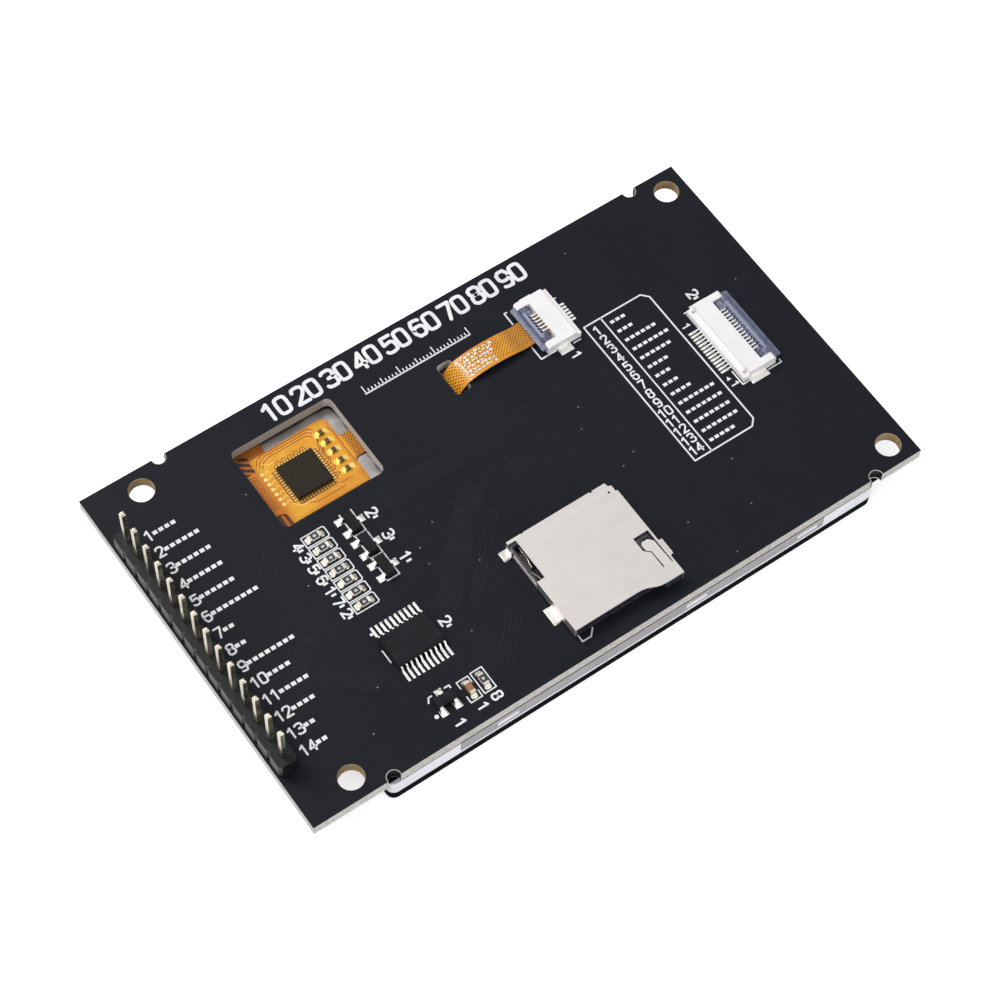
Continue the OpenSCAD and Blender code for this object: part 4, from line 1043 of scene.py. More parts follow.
# %% [markdown]
# ## Vias
# A via is a plated hole that joins the two sides of the board. Lacquer covers it, so it
# shows as a low ring with a dimple, and a few hold a dot of bare tin. They are scattered
# with a fixed seed, so that every run gives the same board, and kept off the parts.

# %% Vias
random.seed(7)
VIA_R, VIA_BORE, VIA_GAP, BARE_R, BARE_SHARE = 0.30, 0.15, 0.9, 0.05, 0.14
KEPT_CLEAR = [(-43, -38.4, -19, 18.5), (-39.4, -31.2, -18.5, 18), (-25.6, -10.6, 8, 21.5),
              (-26, -14.6, -6.8, 6.8), (-25.6, -15.4, -24.5, -7.4), (12.6, 20.2, 9, 19.8),
              (29.4, 37.6, -7, 7.6), (19.3, 29.7, -11.6, 12), (-7.2, 11, -25, -6.6),
              (2.2, 14, 11.6, 17.4), (-19.4, 19.4, 18, 24.6), (33, 43, 19, 25),
              (33, 43, -25, -19), (-43, -33, 19, 25), (-43, -33, -25, -19)]
CLUSTERS = [(-15.5, -5, -17, 8, 26), (-30, -26, -22, 6, 14), (12, 19, -8, 9, 16),
            (-38, 41, -24, 23, 60), (12, 32, -24, -12, 16)]
vias, spots = Solids(TENTED, RELIEF, TIN), []
for x0, x1, y0, y1, count in CLUSTERS:
    tries = 0
    while count and tries < 900:
        tries += 1
        x, y = random.uniform(x0, x1), random.uniform(y0, y1)
        if any(a < x < b and c < y < d for a, b, c, d in KEPT_CLEAR) or any(
                math.hypot(x - u, y - v) < VIA_GAP for u, v in spots):
            continue
        spots.append((x, y))
        count -= 1
for x, y in spots:
    lining(vias, x, y, VIA_R, VIA_BORE, ROOT, TOP + 0.016, 1, 14)
    vias.disc(x, y, VIA_BORE, ROOT, TOP + 0.004, 0, 10)
    if random.random() < BARE_SHARE:
        vias.disc(x, y, BARE_R, ROOT, TOP + 0.012, 2, 8)
vias.piece("lacquered_vias", "board")

# %% [markdown]
# ## White print
# The board's print is a thin white ink. Every mark is drawn as an even line, as the plotter
# of a printing screen does it. The numbers come from a small stroke alphabet of ten
# digits, drawn on a grid one unit high. Marks that would hold words carry only
# numbers, rules and plain blocks.

# %% Digits
STROKES = {
    "0": [[(0.1, 0), (0.5, 0), (0.6, 0.15), (0.6, 0.85), (0.5, 1), (0.1, 1), (0, 0.85), (0, 0.15)]],
    "1": [[(0.06, 0.78), (0.34, 1), (0.34, 1), (0.34, 0)]],
    "2": [[(0, 0.8), (0.06, 1), (0.54, 1), (0.62, 0.7), (0.4, 0.42), (0, 0), (0, 0), (0.62, 0)]],
    "3": [[(0, 0.9), (0.1, 1), (0.55, 1), (0.6, 0.58), (0.24, 0.52), (0.24, 0.52), (0.62, 0.5),
           (0.62, 0), (0.1, 0), (0, 0.12)]],
    "4": [[(0.46, 0), (0.46, 1), (0.46, 1), (0, 0.3), (0, 0.3), (0.64, 0.3)]],
    "5": [[(0.58, 1), (0.06, 1), (0.06, 1), (0.04, 0.56), (0.04, 0.56), (0.58, 0.66), (0.64, 0.1),
           (0.4, 0), (0.1, 0), (0, 0.12)]],
    "6": [[(0.54, 0.94), (0.4, 1), (0, 1), (0, 0), (0.6, 0), (0.6, 0.58), (0.1, 0.6), (0.02, 0.4)]],
    "7": [[(0, 1), (0.6, 1), (0.6, 1), (0.22, 0)]],
    "8": [[(0.3, 0.53), (0.02, 0.56), (0.02, 1), (0.58, 1), (0.58, 0.56), (0.3, 0.53), (0.3, 0.53),
           (0, 0.5), (0, 0), (0.6, 0), (0.6, 0.5), (0.3, 0.53)]],
    "9": [[(0.06, 0.06), (0.2, 0), (0.6, 0), (0.6, 1), (0, 1), (0, 0.42), (0.5, 0.4), (0.58, 0.6)]],
}
ink = Solids(INK_WHITE)


def line(points, width=0.18, closed=False):
    """A printed line through points on the board."""
    ink.stroke(points, width, *INK_Z, closed=closed)


def rounder(path, closed):
    """Cuts each corner of a path once. A point that is listed twice stays sharp."""
    ends = list(zip(path, path[1:] + (path[:1] if closed else [])))
    cut = [(a[0] + (b[0] - a[0]) * t, a[1] + (b[1] - a[1]) * t)
           for a, b in ends if a != b for t in (0.25, 0.75)]
    sharp = [] if closed else [path[0]]
    for k, (a, b) in enumerate(p for p in ends if p[0] != p[1]):
        sharp += [cut[2 * k], cut[2 * k + 1]] + ([b] if path.count(b) == 2 else [])
    return sharp if closed else sharp + [path[-1]]


def number(text, x, y, height, weight, turn=0.0, pitch=0.8):
    """Digits from the baseline start (x, y), read along turn degrees. The weight of their
    line and their pitch are shares of the height."""
    c, s = math.cos(math.radians(turn)), math.sin(math.radians(turn))
    for k, digit in enumerate(str(text)):
        for stroke in STROKES[digit]:
            path = rounder(stroke, digit == "0")
            local = [(k * pitch * height + a * height, b * height) for a, b in path]
            line([(x + c * a - s * b, y + s * a + c * b) for a, b in local],
                 weight * height, digit == "0")


def bar(x0, x1, y, thickness):
    """A plain solid block of ink, centred on y."""
    ink.box((x0, x1), (y - thickness / 2, y + thickness / 2), INK_Z)


def near(anchor, points):
    """Points counted from an anchor, as places on the board."""
    return [(anchor.x + x, anchor.y + y) for x, y in points]


print("digits", len(STROKES))

# %% [markdown]
# ## Title place and pin numbers
# The wide place along the long edge carries a bold row of plain digits over a fine
# ruled scale. Each pin has its number, and a row of plain blocks fills out the place next
# to it.

# %% Title place
TITLE_START, TITLE_BASE, TITLE_STEP, TITLE_HEIGHT = -18.8, 21.6, 4.26, 2.35
for k in range(9):
    number(10 * (k + 1), TITLE_START + k * TITLE_STEP, TITLE_BASE, TITLE_HEIGHT, 0.2, pitch=0.78)
SCALE_START, SCALE_BASE, SCALE_STEP, SCALE_MARKS = -7.1, 18.5, 0.5, 31
line([(SCALE_START - 0.1, SCALE_BASE), (SCALE_START + SCALE_STEP * (SCALE_MARKS - 1), SCALE_BASE)], 0.2)
for k in range(SCALE_MARKS):
    x = SCALE_START + k * SCALE_STEP
    tall = 1.15 if k % 10 == 0 else 0.85 if k % 5 == 0 else 0.5
    line([(x, SCALE_BASE + 0.05), (x, SCALE_BASE + tall)], 0.14)
print("title and scale", ink.count, "marks")

# %% Pin numbers
pins = [middle(f"header_pin_{k:02d}") for k in range(1, 15)]
LABEL_BLOCKS = (5, 7, 7, 7, 7, 9, 3, 3, 9, 6, 7, 6, 3, 3)
LABEL_GAP, BLOCK_PITCH, BLOCK = 2.4, 0.81, 0.58
for k, (pin, blocks) in enumerate(zip(pins, LABEL_BLOCKS), 1):
    digits = len(str(k))
    number(k, pin.x + LABEL_GAP, pin.y - 0.46, 1.32, 0.19)
    start = pin.x + LABEL_GAP + (0.95 if digits == 1 else 2.0)
    for x in (start + b * BLOCK_PITCH for b in range(max(2, blocks - digits))):
        bar(x, x + BLOCK, pin.y + 0.2, 0.5)
print("with pin numbers", ink.count)

# %% [markdown]
# ## The pin table
# Fourteen numbered rows stand in a frame with two clipped corners. The wide column holds a
# row of plain blocks of its own length in each row.

# %% Pin table
LEFT, RULE, RIGHT, CLIP_X, CLIP_Y = 19.85, 22.33, 29.15, 0.8, 0.85
LOW, HIGH, FIRST_ROW, ROW_PITCH = -11.05, 11.55, 10.3, 1.546
CELL_START, CELL_PITCH, CELL = 22.95, 0.78, 0.55
ROW_BLOCKS, ONE_DIGIT_X, TWO_DIGITS_X = (3, 3, 6, 7, 6, 4, 3, 3, 4, 7, 7, 7, 7, 5), 20.62, 20.15
line([(LEFT, LOW), (RIGHT - CLIP_X, LOW), (RIGHT, LOW + CLIP_Y), (RIGHT, HIGH - CLIP_Y),
      (RIGHT - CLIP_X, HIGH), (LEFT, HIGH)], 0.2, closed=True)
line([(RULE, LOW + 0.05), (RULE, HIGH - 0.05)], 0.18)
for k, blocks in enumerate(ROW_BLOCKS):
    y = FIRST_ROW - k * ROW_PITCH
    number(k + 1, ONE_DIGIT_X if k < 9 else TWO_DIGITS_X, y - 0.58, 1.15, 0.19)
    for x in (CELL_START + b * CELL_PITCH for b in range(blocks)):
        bar(x, x + CELL, y, 0.42)
print("with the pin table", ink.count)

# %% [markdown]
# ## Outlines round the parts
# Assembly print shows where each part goes: a box round each chip resistor, brackets and
# a triangle at each connector, half outlines and a dot at the small transistors. The points
# of each outline are counted from the middle of its own solid, so that a part and its
# outline stay together.

# %% Ladder of resistors
LADDER_NUMBERS = (4, 3, 5, 6, 1, 7, 2)
for k, mark in enumerate(LADDER_NUMBERS, 1):
    spot = middle(f"resistor_{k}")
    line(near(spot, [(-1.45, -0.75), (1.47, -0.75), (1.65, -0.57), (1.65, 0.57), (1.47, 0.75),
                     (-1.45, 0.75)]), 0.15, closed=True)
    number(mark, spot.x - 2.95, spot.y + 0.4, 1.25, 0.2, turn=-90)
    bar(spot.x - 2.62, spot.x - 1.98, spot.y - 0.62, 0.3)
print("with the ladder", ink.count)

# %% Transistors
TRANSISTORS = {"transistor_1": 2, "transistor_2": 3, "transistor_3": 1}
for name, mark in TRANSISTORS.items():
    spot = middle(name)
    line(near(spot, [(0.9, 1.65), (0.9, 0.62)]))
    line(near(spot, [(0.9, -0.6), (0.9, -1.58), (-0.75, -1.58)]))
    line(near(spot, [(-0.66, 0.42), (-0.66, -0.45)]), 0.2)
    ink.disc(spot.x - 0.62, spot.y + 1.66, 0.14, *INK_Z)
    number(mark, spot.x + 2.1, spot.y + 0.4, 1.3, 0.2, turn=-90)
    bar(spot.x + 2.45, spot.x + 3.1, spot.y - 0.75, 0.3)
print("with the transistors", ink.count)

# %% Chips, capacitor and lone resistor
chip = middle("logic_chip")
ink.disc(chip.x - 3.3, chip.y + 3.3, 0.2, *INK_Z)
line(near(chip, [(-3.45, 0.9), (-3.45, -0.9)]), 0.16)
number(2, chip.x + 4.0, chip.y + 0.45, 1.3, 0.2, turn=-90)
bar(chip.x + 4.35, chip.x + 5.0, chip.y - 0.7, 0.3)
reg = middle("regulator")
ink.disc(reg.x - 1.9, reg.y - 1.15, 0.27, *INK_Z)
line(near(reg, [(-1.7, 0.75), (-1.35, 1.33), (-0.95, 1.33)]), 0.2)
line(near(reg, [(0.85, 1.35), (1.45, 1.35), (1.45, 0.9)]), 0.2)
number(1, reg.x - 0.7, reg.y - 2.9, 1.25, 0.2, turn=-90)
cap = middle("capacitor")
for sign in (1, -1):
    line(near(cap, [(-0.8, sign * 0.62), (-0.8, sign * 1.5), (0.75, sign * 1.5),
                    (0.75, sign * 0.62)]), 0.16)
number(1, cap.x - 0.5, cap.y - 2.25, 1.2, 0.2, turn=-90)
lone = middle("resistor_8")
line(near(lone, [(-0.78, -1.5), (0.78, -1.5), (0.78, 1.5), (-0.78, 1.5)]), 0.16, closed=True)
number(8, lone.x - 0.4, lone.y - 2.1, 1.25, 0.2, turn=-90)
print("with the lone parts", ink.count)

# %% Connectors and card socket
touch, spare = middle("touch_connector_housing"), middle("spare_connector_housing")
line(near(touch, [(-3.0, 4.05), (-3.35, 4.05), (-3.35, 2.2)]), 0.2)
line(near(touch, [(-3.35, -1.8), (-3.35, -3.8), (-1.15, -3.8)]), 0.2)
line(near(touch, [(1.25, -4.1), (2.25, -4.1)]), 0.18)
ink.prism(near(touch, [(2.65, 2.15), (3.3, 2.45), (2.65, 2.75)]), *INK_Z)
line(near(spare, [(-2.6, 6.1), (-1.9, 6.1)]), 0.18)
line(near(spare, [(-2.8, -3.85), (-2.8, -6.0), (-1.8, -6.0)]), 0.18)
line(near(spare, [(1.1, -6.05), (3.0, -6.05), (3.0, -5.6)]), 0.18)
ink.prism(near(spare, [(-4.1, -4.6), (-3.5, -4.6), (-3.8, -4.05)]), *INK_Z)
for mark, anchor, x, y, height in ((1, touch, -0.05, -5.35, 1.15), (1, spare, -4.0, 4.75, 0.95),
                                   (1, spare, -4.0, -5.15, 0.95), (2, spare, -0.7, 8.25, 1.3)):
    number(mark, anchor.x + x, anchor.y + y, height, 0.2, turn=-90)
bar(spare.x - 0.4, spare.x + 0.3, spare.y + 7.15, 0.3)
line(near(limits("card_socket_shell")[0], [(1.4, 0.9), (1.4, 0), (2.6, 0), (3.35, 0.8)]), 0.18)
ink.piece("white_print", "board")

# %% [markdown]
# ## Pin header
# A pin header is a black moulded strip, notched between its positions, with square
# plated pins pressed through it and soldered underneath. The strip and the pins only need
# soft edges. The solder is a small cone round each tail, on a tinned ring.

# %% Header
softened("header_strip", 0.05, HEADER_BLACK)
for k in range(1, 15):
    softened(f"header_pin_{k:02d}", 0.06, PIN_METAL)
joints_under = Solids(TIN)
TAIL_END = limits("header_pin_01")[0].z
CONE = ((0.36, TAIL_END + 0.35), (0.42, TAIL_END + 0.7), (0.56, UNDER - 0.35),
        (0.82, UNDER - 0.04), (0.86, UNDER))
for pin in pins:
    rings = [[(*p, z) for p in circle(pin.x, pin.y, radius, 20)] for radius, z in CONE]
    joints_under.loft(rings, smooth=True)
joints_under.piece("header_solder", "tin")

# %% [markdown]
# ## Pads and solder of the small parts
# Reflowed solder rises from the pad onto the lead as a shiny concave foot. Each joint is a
# loft from the outline of its pad to a smaller ring partway up the lead. Both outlines are
# rectangles with cut corners, and the rings between them shrink faster than they rise.

# %% Solder feet
feet = Solids(TIN, TIN_CREAM)
RISES = ((0.45, 0.32), (0.8, 0.68), (1.0, 1.0))


def foot(x, y, pad, lead, rise, toward=(0.0, 0.0), use=0):
    """Solder from a pad of size pad to the lead's size, whose centre is moved by toward."""
    rings = []
    for part, height in ((0.0, 0.0), (0.0, 0.035), *((a, rise * b) for a, b in RISES)):
        w = pad[0] + (lead[0] - pad[0]) * part
        d = pad[1] + (lead[1] - pad[1]) * part
        cx, cy = x + toward[0] * part, y + toward[1] * part
        cut = min(w, d) * 0.2
        ring = []
        for sx, sy, order in ((1, -1, 0), (1, 1, 1), (-1, 1, 0), (-1, -1, 1)):
            ends = [(cx + sx * (w / 2 - cut), cy + sy * d / 2),
                    (cx + sx * w / 2, cy + sy * (d / 2 - cut))]
            ring += ends if order == 0 else ends[::-1]
        rings.append([(a, b, ROOT + height) for a, b in ring])
    feet.loft(rings, use, smooth=True)


print("rings in a foot", 2 + len(RISES))

# %% Feet of the leads
LEAD_STEP, PAD_HALF, PAD_NEAR, PAD_FAR = 0.95, 0.46, 0.72, 1.68
for name in TRANSISTORS:
    spot = middle(name)
    for side, dy in ((1, 0.0), (-1, LEAD_STEP), (-1, -LEAD_STEP)):
        feet.box(sorted((spot.x + side * PAD_NEAR, spot.x + side * PAD_FAR)),
                 (spot.y + dy - PAD_HALF, spot.y + dy + PAD_HALF), PAD_Z, 0, 0.02)
        foot(spot.x + side * 1.2, spot.y + dy, (0.9, 0.85), (0.35, 0.46), 0.34,
             (-side * 0.22, 0.0))
spot = middle("regulator")
for side, dx in ((1, 0.0), (-1, -LEAD_STEP), (-1, LEAD_STEP)):
    feet.box((spot.x + dx - PAD_HALF, spot.x + dx + PAD_HALF),
             sorted((spot.y + side * PAD_NEAR, spot.y + side * PAD_FAR)), PAD_Z, 0, 0.02)
    foot(spot.x + dx, spot.y + side * 1.22, (0.85, 0.9), (0.46, 0.35), 0.34, (0.0, -side * 0.22))
CHIP_LEADS, CHIP_PITCH, CHIP_PAD_HALF = 10, 0.65, 0.165
for k in range(CHIP_LEADS):
    for side in (1, -1):
        x = chip.x + CHIP_PITCH * (k - (CHIP_LEADS - 1) / 2)
        feet.box((x - CHIP_PAD_HALF, x + CHIP_PAD_HALF),
                 sorted((chip.y + side * 2.7, chip.y + side * 4.07)), PAD_Z, 0, 0.02)
        foot(x, chip.y + side * 3.3, (0.29, 1.3), (0.24, 0.7), 0.13, (0.0, -side * 0.2))
print("feet so far", feet.count)

# %% [markdown]
# ## Chip resistors and the capacitor
# A chip resistor is a white ceramic block with a black coat on top and tinned metal wrapped
# over both ends, and a chip capacitor is a plain brown block with the same ends. The exact
# solid of each is one block with two caps, so here it is built again from its layers,
# inside the same box, and each layer takes its own finish.

# %% Chip resistors and the capacitor
END_CAP = 0.32


def chip_body(name, node, along_x, body_use, coat_use=None, mark_use=None):
    """A ceramic block with metal wrapped over both ends."""
    low, high = limits(node)
    mid = (low + high) / 2
    part = Solids(TIN_CREAM, ALUMINA, RESIST_BLACK, MARK_GREY, CAPACITOR_TAN)
    a, b = (0, 1) if along_x else (1, 0)

    def block(s0, s1, w, z0, z1, use, draft=0.0):
        spans = [None, None]
        spans[a], spans[b] = (mid[a] + s0, mid[a] + s1), (mid[b] - w / 2, mid[b] + w / 2)
        part.box(spans[0], spans[1], (z0, z1), use, draft)

    half, width = (high[a] - low[a]) / 2, high[b] - low[b]
    bare = half - END_CAP
    block(-bare - 0.02, bare + 0.02, width - 0.03, low.z + 0.02, high.z - 0.03, body_use)
    for s in (-1, 1):
        block(*sorted((s * half, s * bare)), width, low.z, high.z, 0, 0.03)
    if coat_use is not None:
        block(-bare + 0.02, bare - 0.02, width - 0.06, high.z - 0.03, high.z - 0.005, coat_use, 0.02)
    if mark_use is not None:
        block(-0.2, 0.2, 0.34, high.z - 0.005, high.z + 0.004, mark_use)
    part.piece(name, "ceramic", nodes=(node,))
    for s in (-1, 1):
        end = [mid.x, mid.y]
        end[a] += s * (half + 0.12)
        pad = (0.75, width + 0.1) if along_x else (width + 0.1, 0.75)
        lead = (0.16, width - 0.1) if along_x else (width - 0.1, 0.16)
        shift = [0.0, 0.0]
        shift[a] = -s * 0.14
        foot(end[0], end[1], pad, lead, 0.3, tuple(shift), 1)


for k in range(1, 9):
    chip_body(f"chip_resistor_{k}", f"resistor_{k}", k < 8, 1, 2, 3)
chip_body("chip_capacitor", "capacitor", False, 4)
feet.piece("solder_feet", "tin")

# %% [markdown]
# ## Moulded chips
# The bodies keep their exact drafted shape with soft edges and a matt moulding grain. A
# small round ring marks the first lead of the larger chip.

# %% Moulded chips and leads
for name in (*TRANSISTORS, "regulator", "logic_chip"):
    softened(name, 0.05, CHIP_BLACK, angle=8)
for name in ("transistor_leads", "regulator_leads", "logic_chip_leads"):
    softened(name, 0.02, TIN)
low, high = limits("logic_chip")
ring = Solids(CHIP_BLACK)
lining(ring, low.x + 0.75, high.y - 0.75, 0.36, 0.30, high.z - 0.002, high.z + 0.012, sides=24)
ring.piece("chip_first_lead_ring", "black_plastic")
softened("touch_chip", 0.04, FLEX_CHIP)

# %% [markdown]
# ## Cable connectors
# Both connectors are ivory mouldings with tinned terminals and a dark flip latch. The
# latch rides on its own body, so its softened copy turns with it. Each terminal ends on a
# small tinned pad, and a larger pad at one side holds the nail that keeps the housing down.

# %% Connectors
for name in ("touch_connector_housing", "spare_connector_housing"):
    softened(name, 0.04, IVORY)
for name in ("touch_connector_latch", "spare_connector_latch"):
    softened(name, 0.03, SLATE)
for name in ("touch_connector_terminals", "spare_connector_terminals"):
    softened(name, 0.015, TIN)
lead_pads = Solids(TIN)
TERMINAL_PITCH = 0.5
# Name, side and number of the leads, limits of the nail's pad from the housing, its reach
CONNECTORS = (("touch", 1, 6, 1.6, 3.45, 1.0), ("spare", -1, 14, 0.8, 3.45, 0.85))
for name, side, count, nail_low, nail_high, nail_out in CONNECTORS:
    low, high = limits(name + "_connector_terminals")
    house_low, house_high = limits(name + "_connector_housing")
    x = high.x if side > 0 else low.x
    for k in range(count):
        y = (house_low.y + house_high.y) / 2 + (k - (count - 1) / 2) * TERMINAL_PITCH
        lead_pads.box(sorted((x - side * 0.75, x + side * 0.4)), (y - 0.16, y + 0.16), PAD_Z,
                      draft=0.02)
    lead_pads.box((house_low.x + nail_low, house_low.x + nail_high),
                  (house_low.y - nail_out, house_low.y + 0.1), PAD_Z, draft=0.03)
lead_pads.piece("connector_pads", "tin")

# %% [markdown]
# ## Card socket
# The shell is one piece of folded nickel-silver sheet over a dark moulding. Its solid
# already has the windows, lances and tabs, and soft edges let each of them catch a line of
# light. The slider's coil spring is a copy with a mesh of its own, left at the length of
# its solid.

# %% Card socket
softened("card_socket_shell", 0.03, NICKEL, angle=25)
softened("card_socket_base", 0.03, CARD_BLACK)
softened("card_socket_contacts", 0.015, LEAF)
softened("card_slider", 0.03, CARD_BLACK)
spring = softened("slider_spring", 0.0, SPRING, angle=180)
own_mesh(spring)
softened("lock_link", 0.02, SPRING, angle=40)

# %% [markdown]
# ## Pads of the card socket
# The shell is held by soldered tabs at its sides, and each of the eight contacts ends on a
# pad behind it. Only a rim of each pad shows, so plain flat boxes are enough. Their places are
# counted from the boxes of the shell and of the contacts.

# %% Pads of the card socket
socket_pads = Solids(TIN_CREAM)
PAD_RIM, TAIL_COUNT, TAIL_PITCH, TAIL_HALF, TAIL_PAD_HALF = 0.12, 8, 1.1, 0.25, 0.3
low, high = limits("card_socket_shell")
for x0, x1, y0, y1 in ((low.x, low.x + 1.05, low.y + 13.55, high.y),
                       (low.x, low.x + 1.05, low.y + 3.55, low.y + 5.7),
                       (high.x - 1.25, high.x, low.y + 3.55, low.y + 5.65)):
    socket_pads.box((x0 - PAD_RIM, x1), (y0 - PAD_RIM, y1 + PAD_RIM), PAD_Z, draft=0.04)
tails = limits("card_socket_contacts")[1]
for k in range(TAIL_COUNT):
    x = tails.x - TAIL_HALF - TAIL_PITCH * (TAIL_COUNT - 1 - k)
    socket_pads.box((x - TAIL_PAD_HALF, x + TAIL_PAD_HALF), (tails.y - 0.9, tails.y + 0.3), PAD_Z,
                    draft=0.03)
socket_pads.piece("socket_pads", "tin")

# %% [markdown]
# ## Flexible circuits
# The touch circuit comes round the edge of the display, lies flat under the window and
# ends in a tail that climbs through the slot to its connector. The exact solid is thin
# enough to be the film itself. Gold pads, brown tracks and the small parts are laid on it
# at the height of the controller's foot. The print on the tail follows the height of its
# surface, which is found by casting a ray down onto the solid.

# %% Film surfaces
flex_data = frame["nodes"]["touch_flex"].data
flex_tree = BVHTree.FromPolygons([v.co[:] for v in flex_data.vertices],
                                 [p.vertices[:] for p in flex_data.polygons])
ABOVE = 20


def film_height(x, y):
    """Height of the touch circuit's upper face at x, y, in millimetres."""
    hit = flex_tree.ray_cast(Vector((x, y, ABOVE)) * MM, Vector((0, 0, -1)))[0]
    return hit.z / MM if hit else limits("touch_flex")[0].z


softened("touch_flex", 0.008, FILM, angle=60, segments=1)
cover("display_flex", UNDER_FILM)
FILM_Z = limits("touch_chip")[0].z
print("film at the chip", round(film_height(-22.5, 14.0), 3), "chip foot", round(FILM_Z, 3))

# %% [markdown]
# ## Gold pads on the film
# Where the film is left open, its copper is gold-plated: short fingers round the controller
# and a row of test dots beside it. They are flat solids on the film, because a picture on
# its surface couldn't stand out from it. A brown groove runs along each row of fingers.

# %% Fingers round the controller
film_gold, film_lines = Solids(GOLD, ALUMINA), Solids(FILM_TRACK)
core = middle("touch_chip")
CHIP_HALF = limits("touch_chip")[1].x - core.x
FILM_ROOT = FILM_Z - 0.004
GOLD_Z, LINE_Z, DOT_Z = ((FILM_ROOT, FILM_Z + rise) for rise in (0.02, 0.008, 0.012))
GROOVE_L, GROOVE_W = 4.9, 0.72
FINGERS, FINGER_PITCH, FINGER_HALF, FINGER_IN, FINGER_OUT = 12, 0.4, 0.1, 0.05, {-1: 0.46, 1: 0.54}
for x, y in ((0, CHIP_HALF + 0.25), (0, -CHIP_HALF - 0.25), (CHIP_HALF + 0.3, 0),
             (-CHIP_HALF - 0.25, 0)):
    w, h = (GROOVE_W, GROOVE_L) if x else (GROOVE_L, GROOVE_W)
    film_lines.box((core.x + x - w / 2, core.x + x + w / 2), (core.y + y - h / 2, core.y + y + h / 2),
                   (FILM_ROOT, FILM_Z + 0.004))
for k in range(FINGERS):
    d = FINGER_PITCH * (k - (FINGERS - 1) / 2)
    for sign, out in FINGER_OUT.items():
        ends = sorted((sign * (CHIP_HALF - FINGER_IN), sign * (CHIP_HALF + out)))
        across = [(c + d - FINGER_HALF, c + d + FINGER_HALF) for c in (core.x, core.y)]
        film_gold.box((core.x + ends[0], core.x + ends[1]), across[1], GOLD_Z)
        film_gold.box(across[0], (core.y + ends[0], core.y + ends[1]), GOLD_Z)
print("fingers", film_gold.count)

# %% Test dots
DOTS, DOT_X, DOT_Y, DOT_PITCH, DOT_R, DOT_BORE = 7, -23.0, 16.9, 0.8, 0.25, 0.12
for k in range(DOTS):
    y = DOT_Y - DOT_PITCH * k
    lining(film_gold, DOT_X, y, DOT_R, DOT_BORE, *GOLD_Z, 0, 16)
    film_gold.disc(DOT_X, y, DOT_BORE, *DOT_Z, 1, 14)
    film_gold.stroke([(DOT_X + 0.35, y - 0.2), (DOT_X + 0.65, y + 0.15), (DOT_X + 0.95, y - 0.1)],
                     0.1, *GOLD_Z)
for path in ([(-22.0, 11.5), (-21.2, 10.7), (-19.6, 10.7)],
             [(-22.3, 18.2), (-21.7, 17.6), (-20.9, 17.6)]):
    film_gold.stroke(path, 0.12, *GOLD_Z)
film_gold.piece("film_gold_pads", "gold")

# %% [markdown]
# ## Parts beside the controller
# Five tiny ceramic parts stand in a column between the controller and the tail. At this
# size only a dark block between two bright ends can be told, so each is built from three
# boxes on two pads, inside the box of the exact solids.

# %% Parts beside the controller
SMALL_PART_Y = (17.85, 16.45, 15.0, 13.4, 12.0)
small = Solids(FLEX_CERAMIC, GOLD)
high = limits("flex_parts")[1]
x = middle("flex_parts").x
for y in SMALL_PART_Y:
    small.box((x - 0.3, x + 0.3), (y - 0.3, y + 0.3), (FILM_Z, high.z - 0.01), 0, 0.02)
    for s in (-1, 1):
        small.box(sorted((x + s * 0.5, x + s * 0.26)), (y - 0.31, y + 0.31), (FILM_Z, high.z), 1, 0.03)
        small.box(sorted((x + s * 0.95, x + s * 0.48)), (y - 0.4, y + 0.4),
                  (FILM_ROOT, FILM_Z + 0.03), 1, 0.02)
small.piece("film_small_parts", "ceramic", nodes=("flex_parts",))

# %% [markdown]
# ## Print on the tail
# The tail carries a white printed place over its mesh. It is filled with short plain
# blocks in rows, whose lengths and slants are drawn at random. Each block is laid on the
# curved film by asking for the surface height at its corners.

# %% Tail print
tail_marks = Solids(INK_WHITE)
ROWS, ROW_STEP, ROW_SLANT, PRINT_REACH = 6, 0.5, 0.12, 5.2
tail_start, first_row = limits("touch_connector_latch")[0].x - 9.9, core.y + 1.87
for row in range(ROWS):
    y = first_row - ROW_STEP * row
    x = tail_start + 0.35 + ROW_SLANT * row
    while x < tail_start + PRINT_REACH - ROW_SLANT * row:
        long, rise = random.choice((0.16, 0.3, 0.44)), random.choice((-0.14, 0.0, 0.14))
        tail_marks.strip([(x + long * i / 3, y + rise * i / 3) for i in range(4)],
                         random.choice((0.16, 0.24, 0.3)), -0.004, 0.012, height=film_height)
        x += long + random.choice((0.12, 0.2, 0.34))
tail_marks.piece("tail_print", "amber_film")

# %% [markdown]
# ## Tracks of the touch circuit
# Thin copper tracks run under the film from the controller to the small parts and round its
# corners. They look like brown pen lines, so they are drawn as strokes a hair above the
# film, together with the open grooves round the controller.

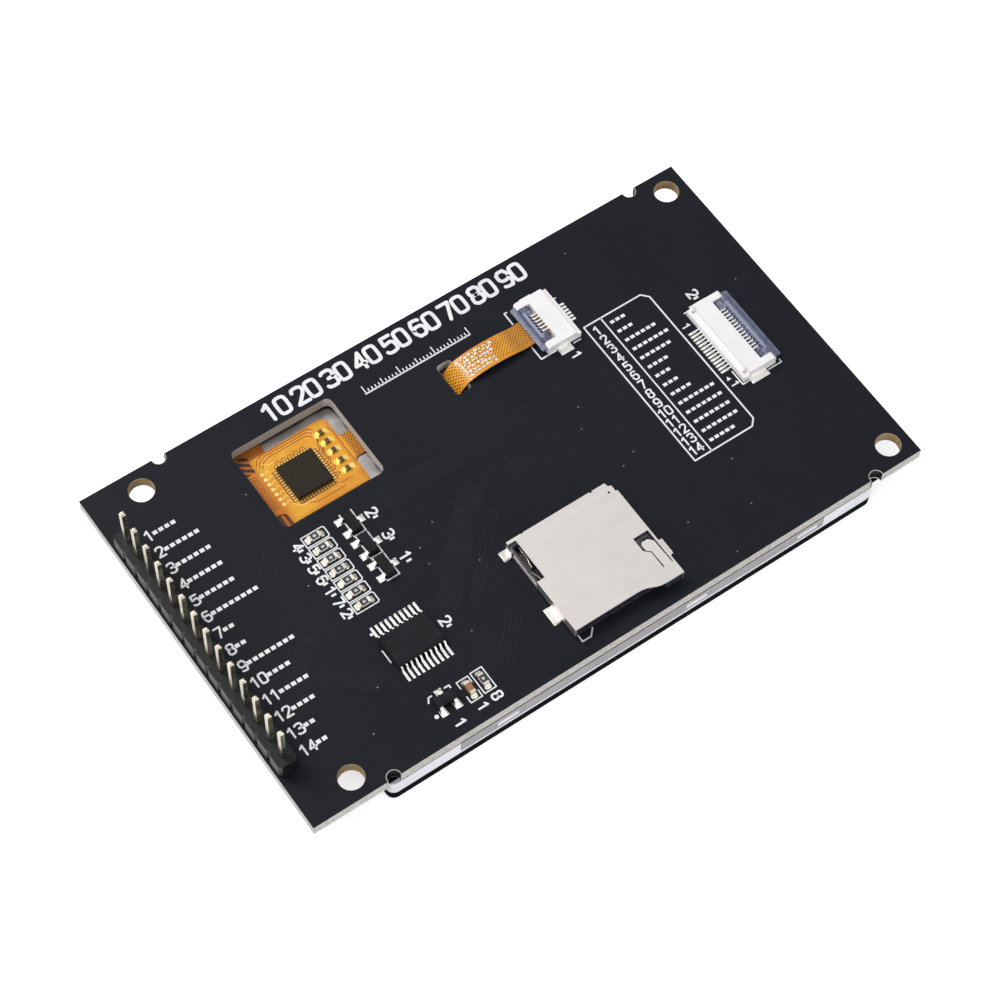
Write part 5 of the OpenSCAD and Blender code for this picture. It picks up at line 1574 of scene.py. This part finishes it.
# %% Tracks under the film
for k in range(5):
    x, y = core.x - 1.75 + 0.85 * k, core.y + CHIP_HALF
    loop = [(x + 0.34 * math.cos(a), y + 0.62 + 0.42 * math.sin(a))
            for a in (math.pi * i / 8 for i in range(9))]
    film_lines.stroke([(x + 0.34, y + 0.2)] + loop + [(x - 0.34, y + 0.2)], 0.09, *LINE_Z)
side_x, TRACK_END = core.x + CHIP_HALF, -14.8
for k, y in enumerate(SMALL_PART_Y):
    start = core.y + 1.9 - 0.9 * k
    halfway = (start + y) / 2
    film_lines.stroke([(side_x + 0.5, start), (side_x + 0.9, start), (side_x + 1.2, halfway),
                       (side_x + 1.5, y - 0.2), (TRACK_END, y - 0.2)], 0.11, *LINE_Z)
    film_lines.stroke([(side_x + 0.5, start - 0.4), (side_x + 1.05, start - 0.4),
                       (side_x + 1.4, halfway), (TRACK_END, y + 0.2)], 0.11, *LINE_Z)
for k in range(3):
    y = 19.25 - 0.36 * k
    film_lines.stroke([(-22.9 + 0.2 * k, y - 1.0), (-22.5 + 0.25 * k, y - 0.35), (-21.6 + 0.2 * k, y),
                       (-15.2 - 0.3 * k, y), (-14.7 - 0.3 * k, y - 0.5)], 0.11, *LINE_Z)
for path in ([(-20.6, 11.2), (-20.6, 10.7), (-19.4, 10.2), (-15.6, 10.2)],
             [(-16.4, 11.2), (-15.7, 10.8), (-14.2, 10.8)],
             [(-13.2, 18.3), (-12.8, 17.4), (-12.8, 12.2)]):
    film_lines.stroke(path, 0.09, *LINE_Z)
film_lines.piece("film_tracks", "amber_film")

# %% [markdown]
# ## Display stack
# Behind the board lie the pressed back plate, the white backlight frame, the sheets of
# the backlight, the display cell and the touch glass. At the long edge they show as thin
# bands, so each layer that can be seen has a finish of its own. The glass face gets the
# deepest gloss, and the folded sides of the back plate are darker than its flat, as painted
# shade.

# %% Display stack
softened("back_plate", 0.04, PLATE, side=FLANK_SHADE)
softened("display_frame", 0.04, LAMP_WHITE)
softened("cover_glass", 0.08, FACE, angle=60, side=EDGE_GLASS)
softened("touch_sensor", 0.03, EDGE_GLASS, angle=60)
softened("display_cell", 0.03, EDGE_GLASS, angle=60)
for name, finish in (("light_guide", CLEAR), ("film_stack", CLEAR), ("driver_chip", CHIP_BLACK),
                     ("backlight_leds", LAMP_WHITE), ("gasket_tape", FOAM),
                     ("mounting_tape", FOAM)):
    cover(name, finish)
print("solids of the frame", len(frame["nodes"]))

# %% [markdown]
# ## Size of the solids
# The box round the CAD solids, taken right after they were loaded, is printed in
# millimetres.

# %% Size of the solids
print("CAD", [[round(c / MM, 3) for c in v] for v in cad_box])
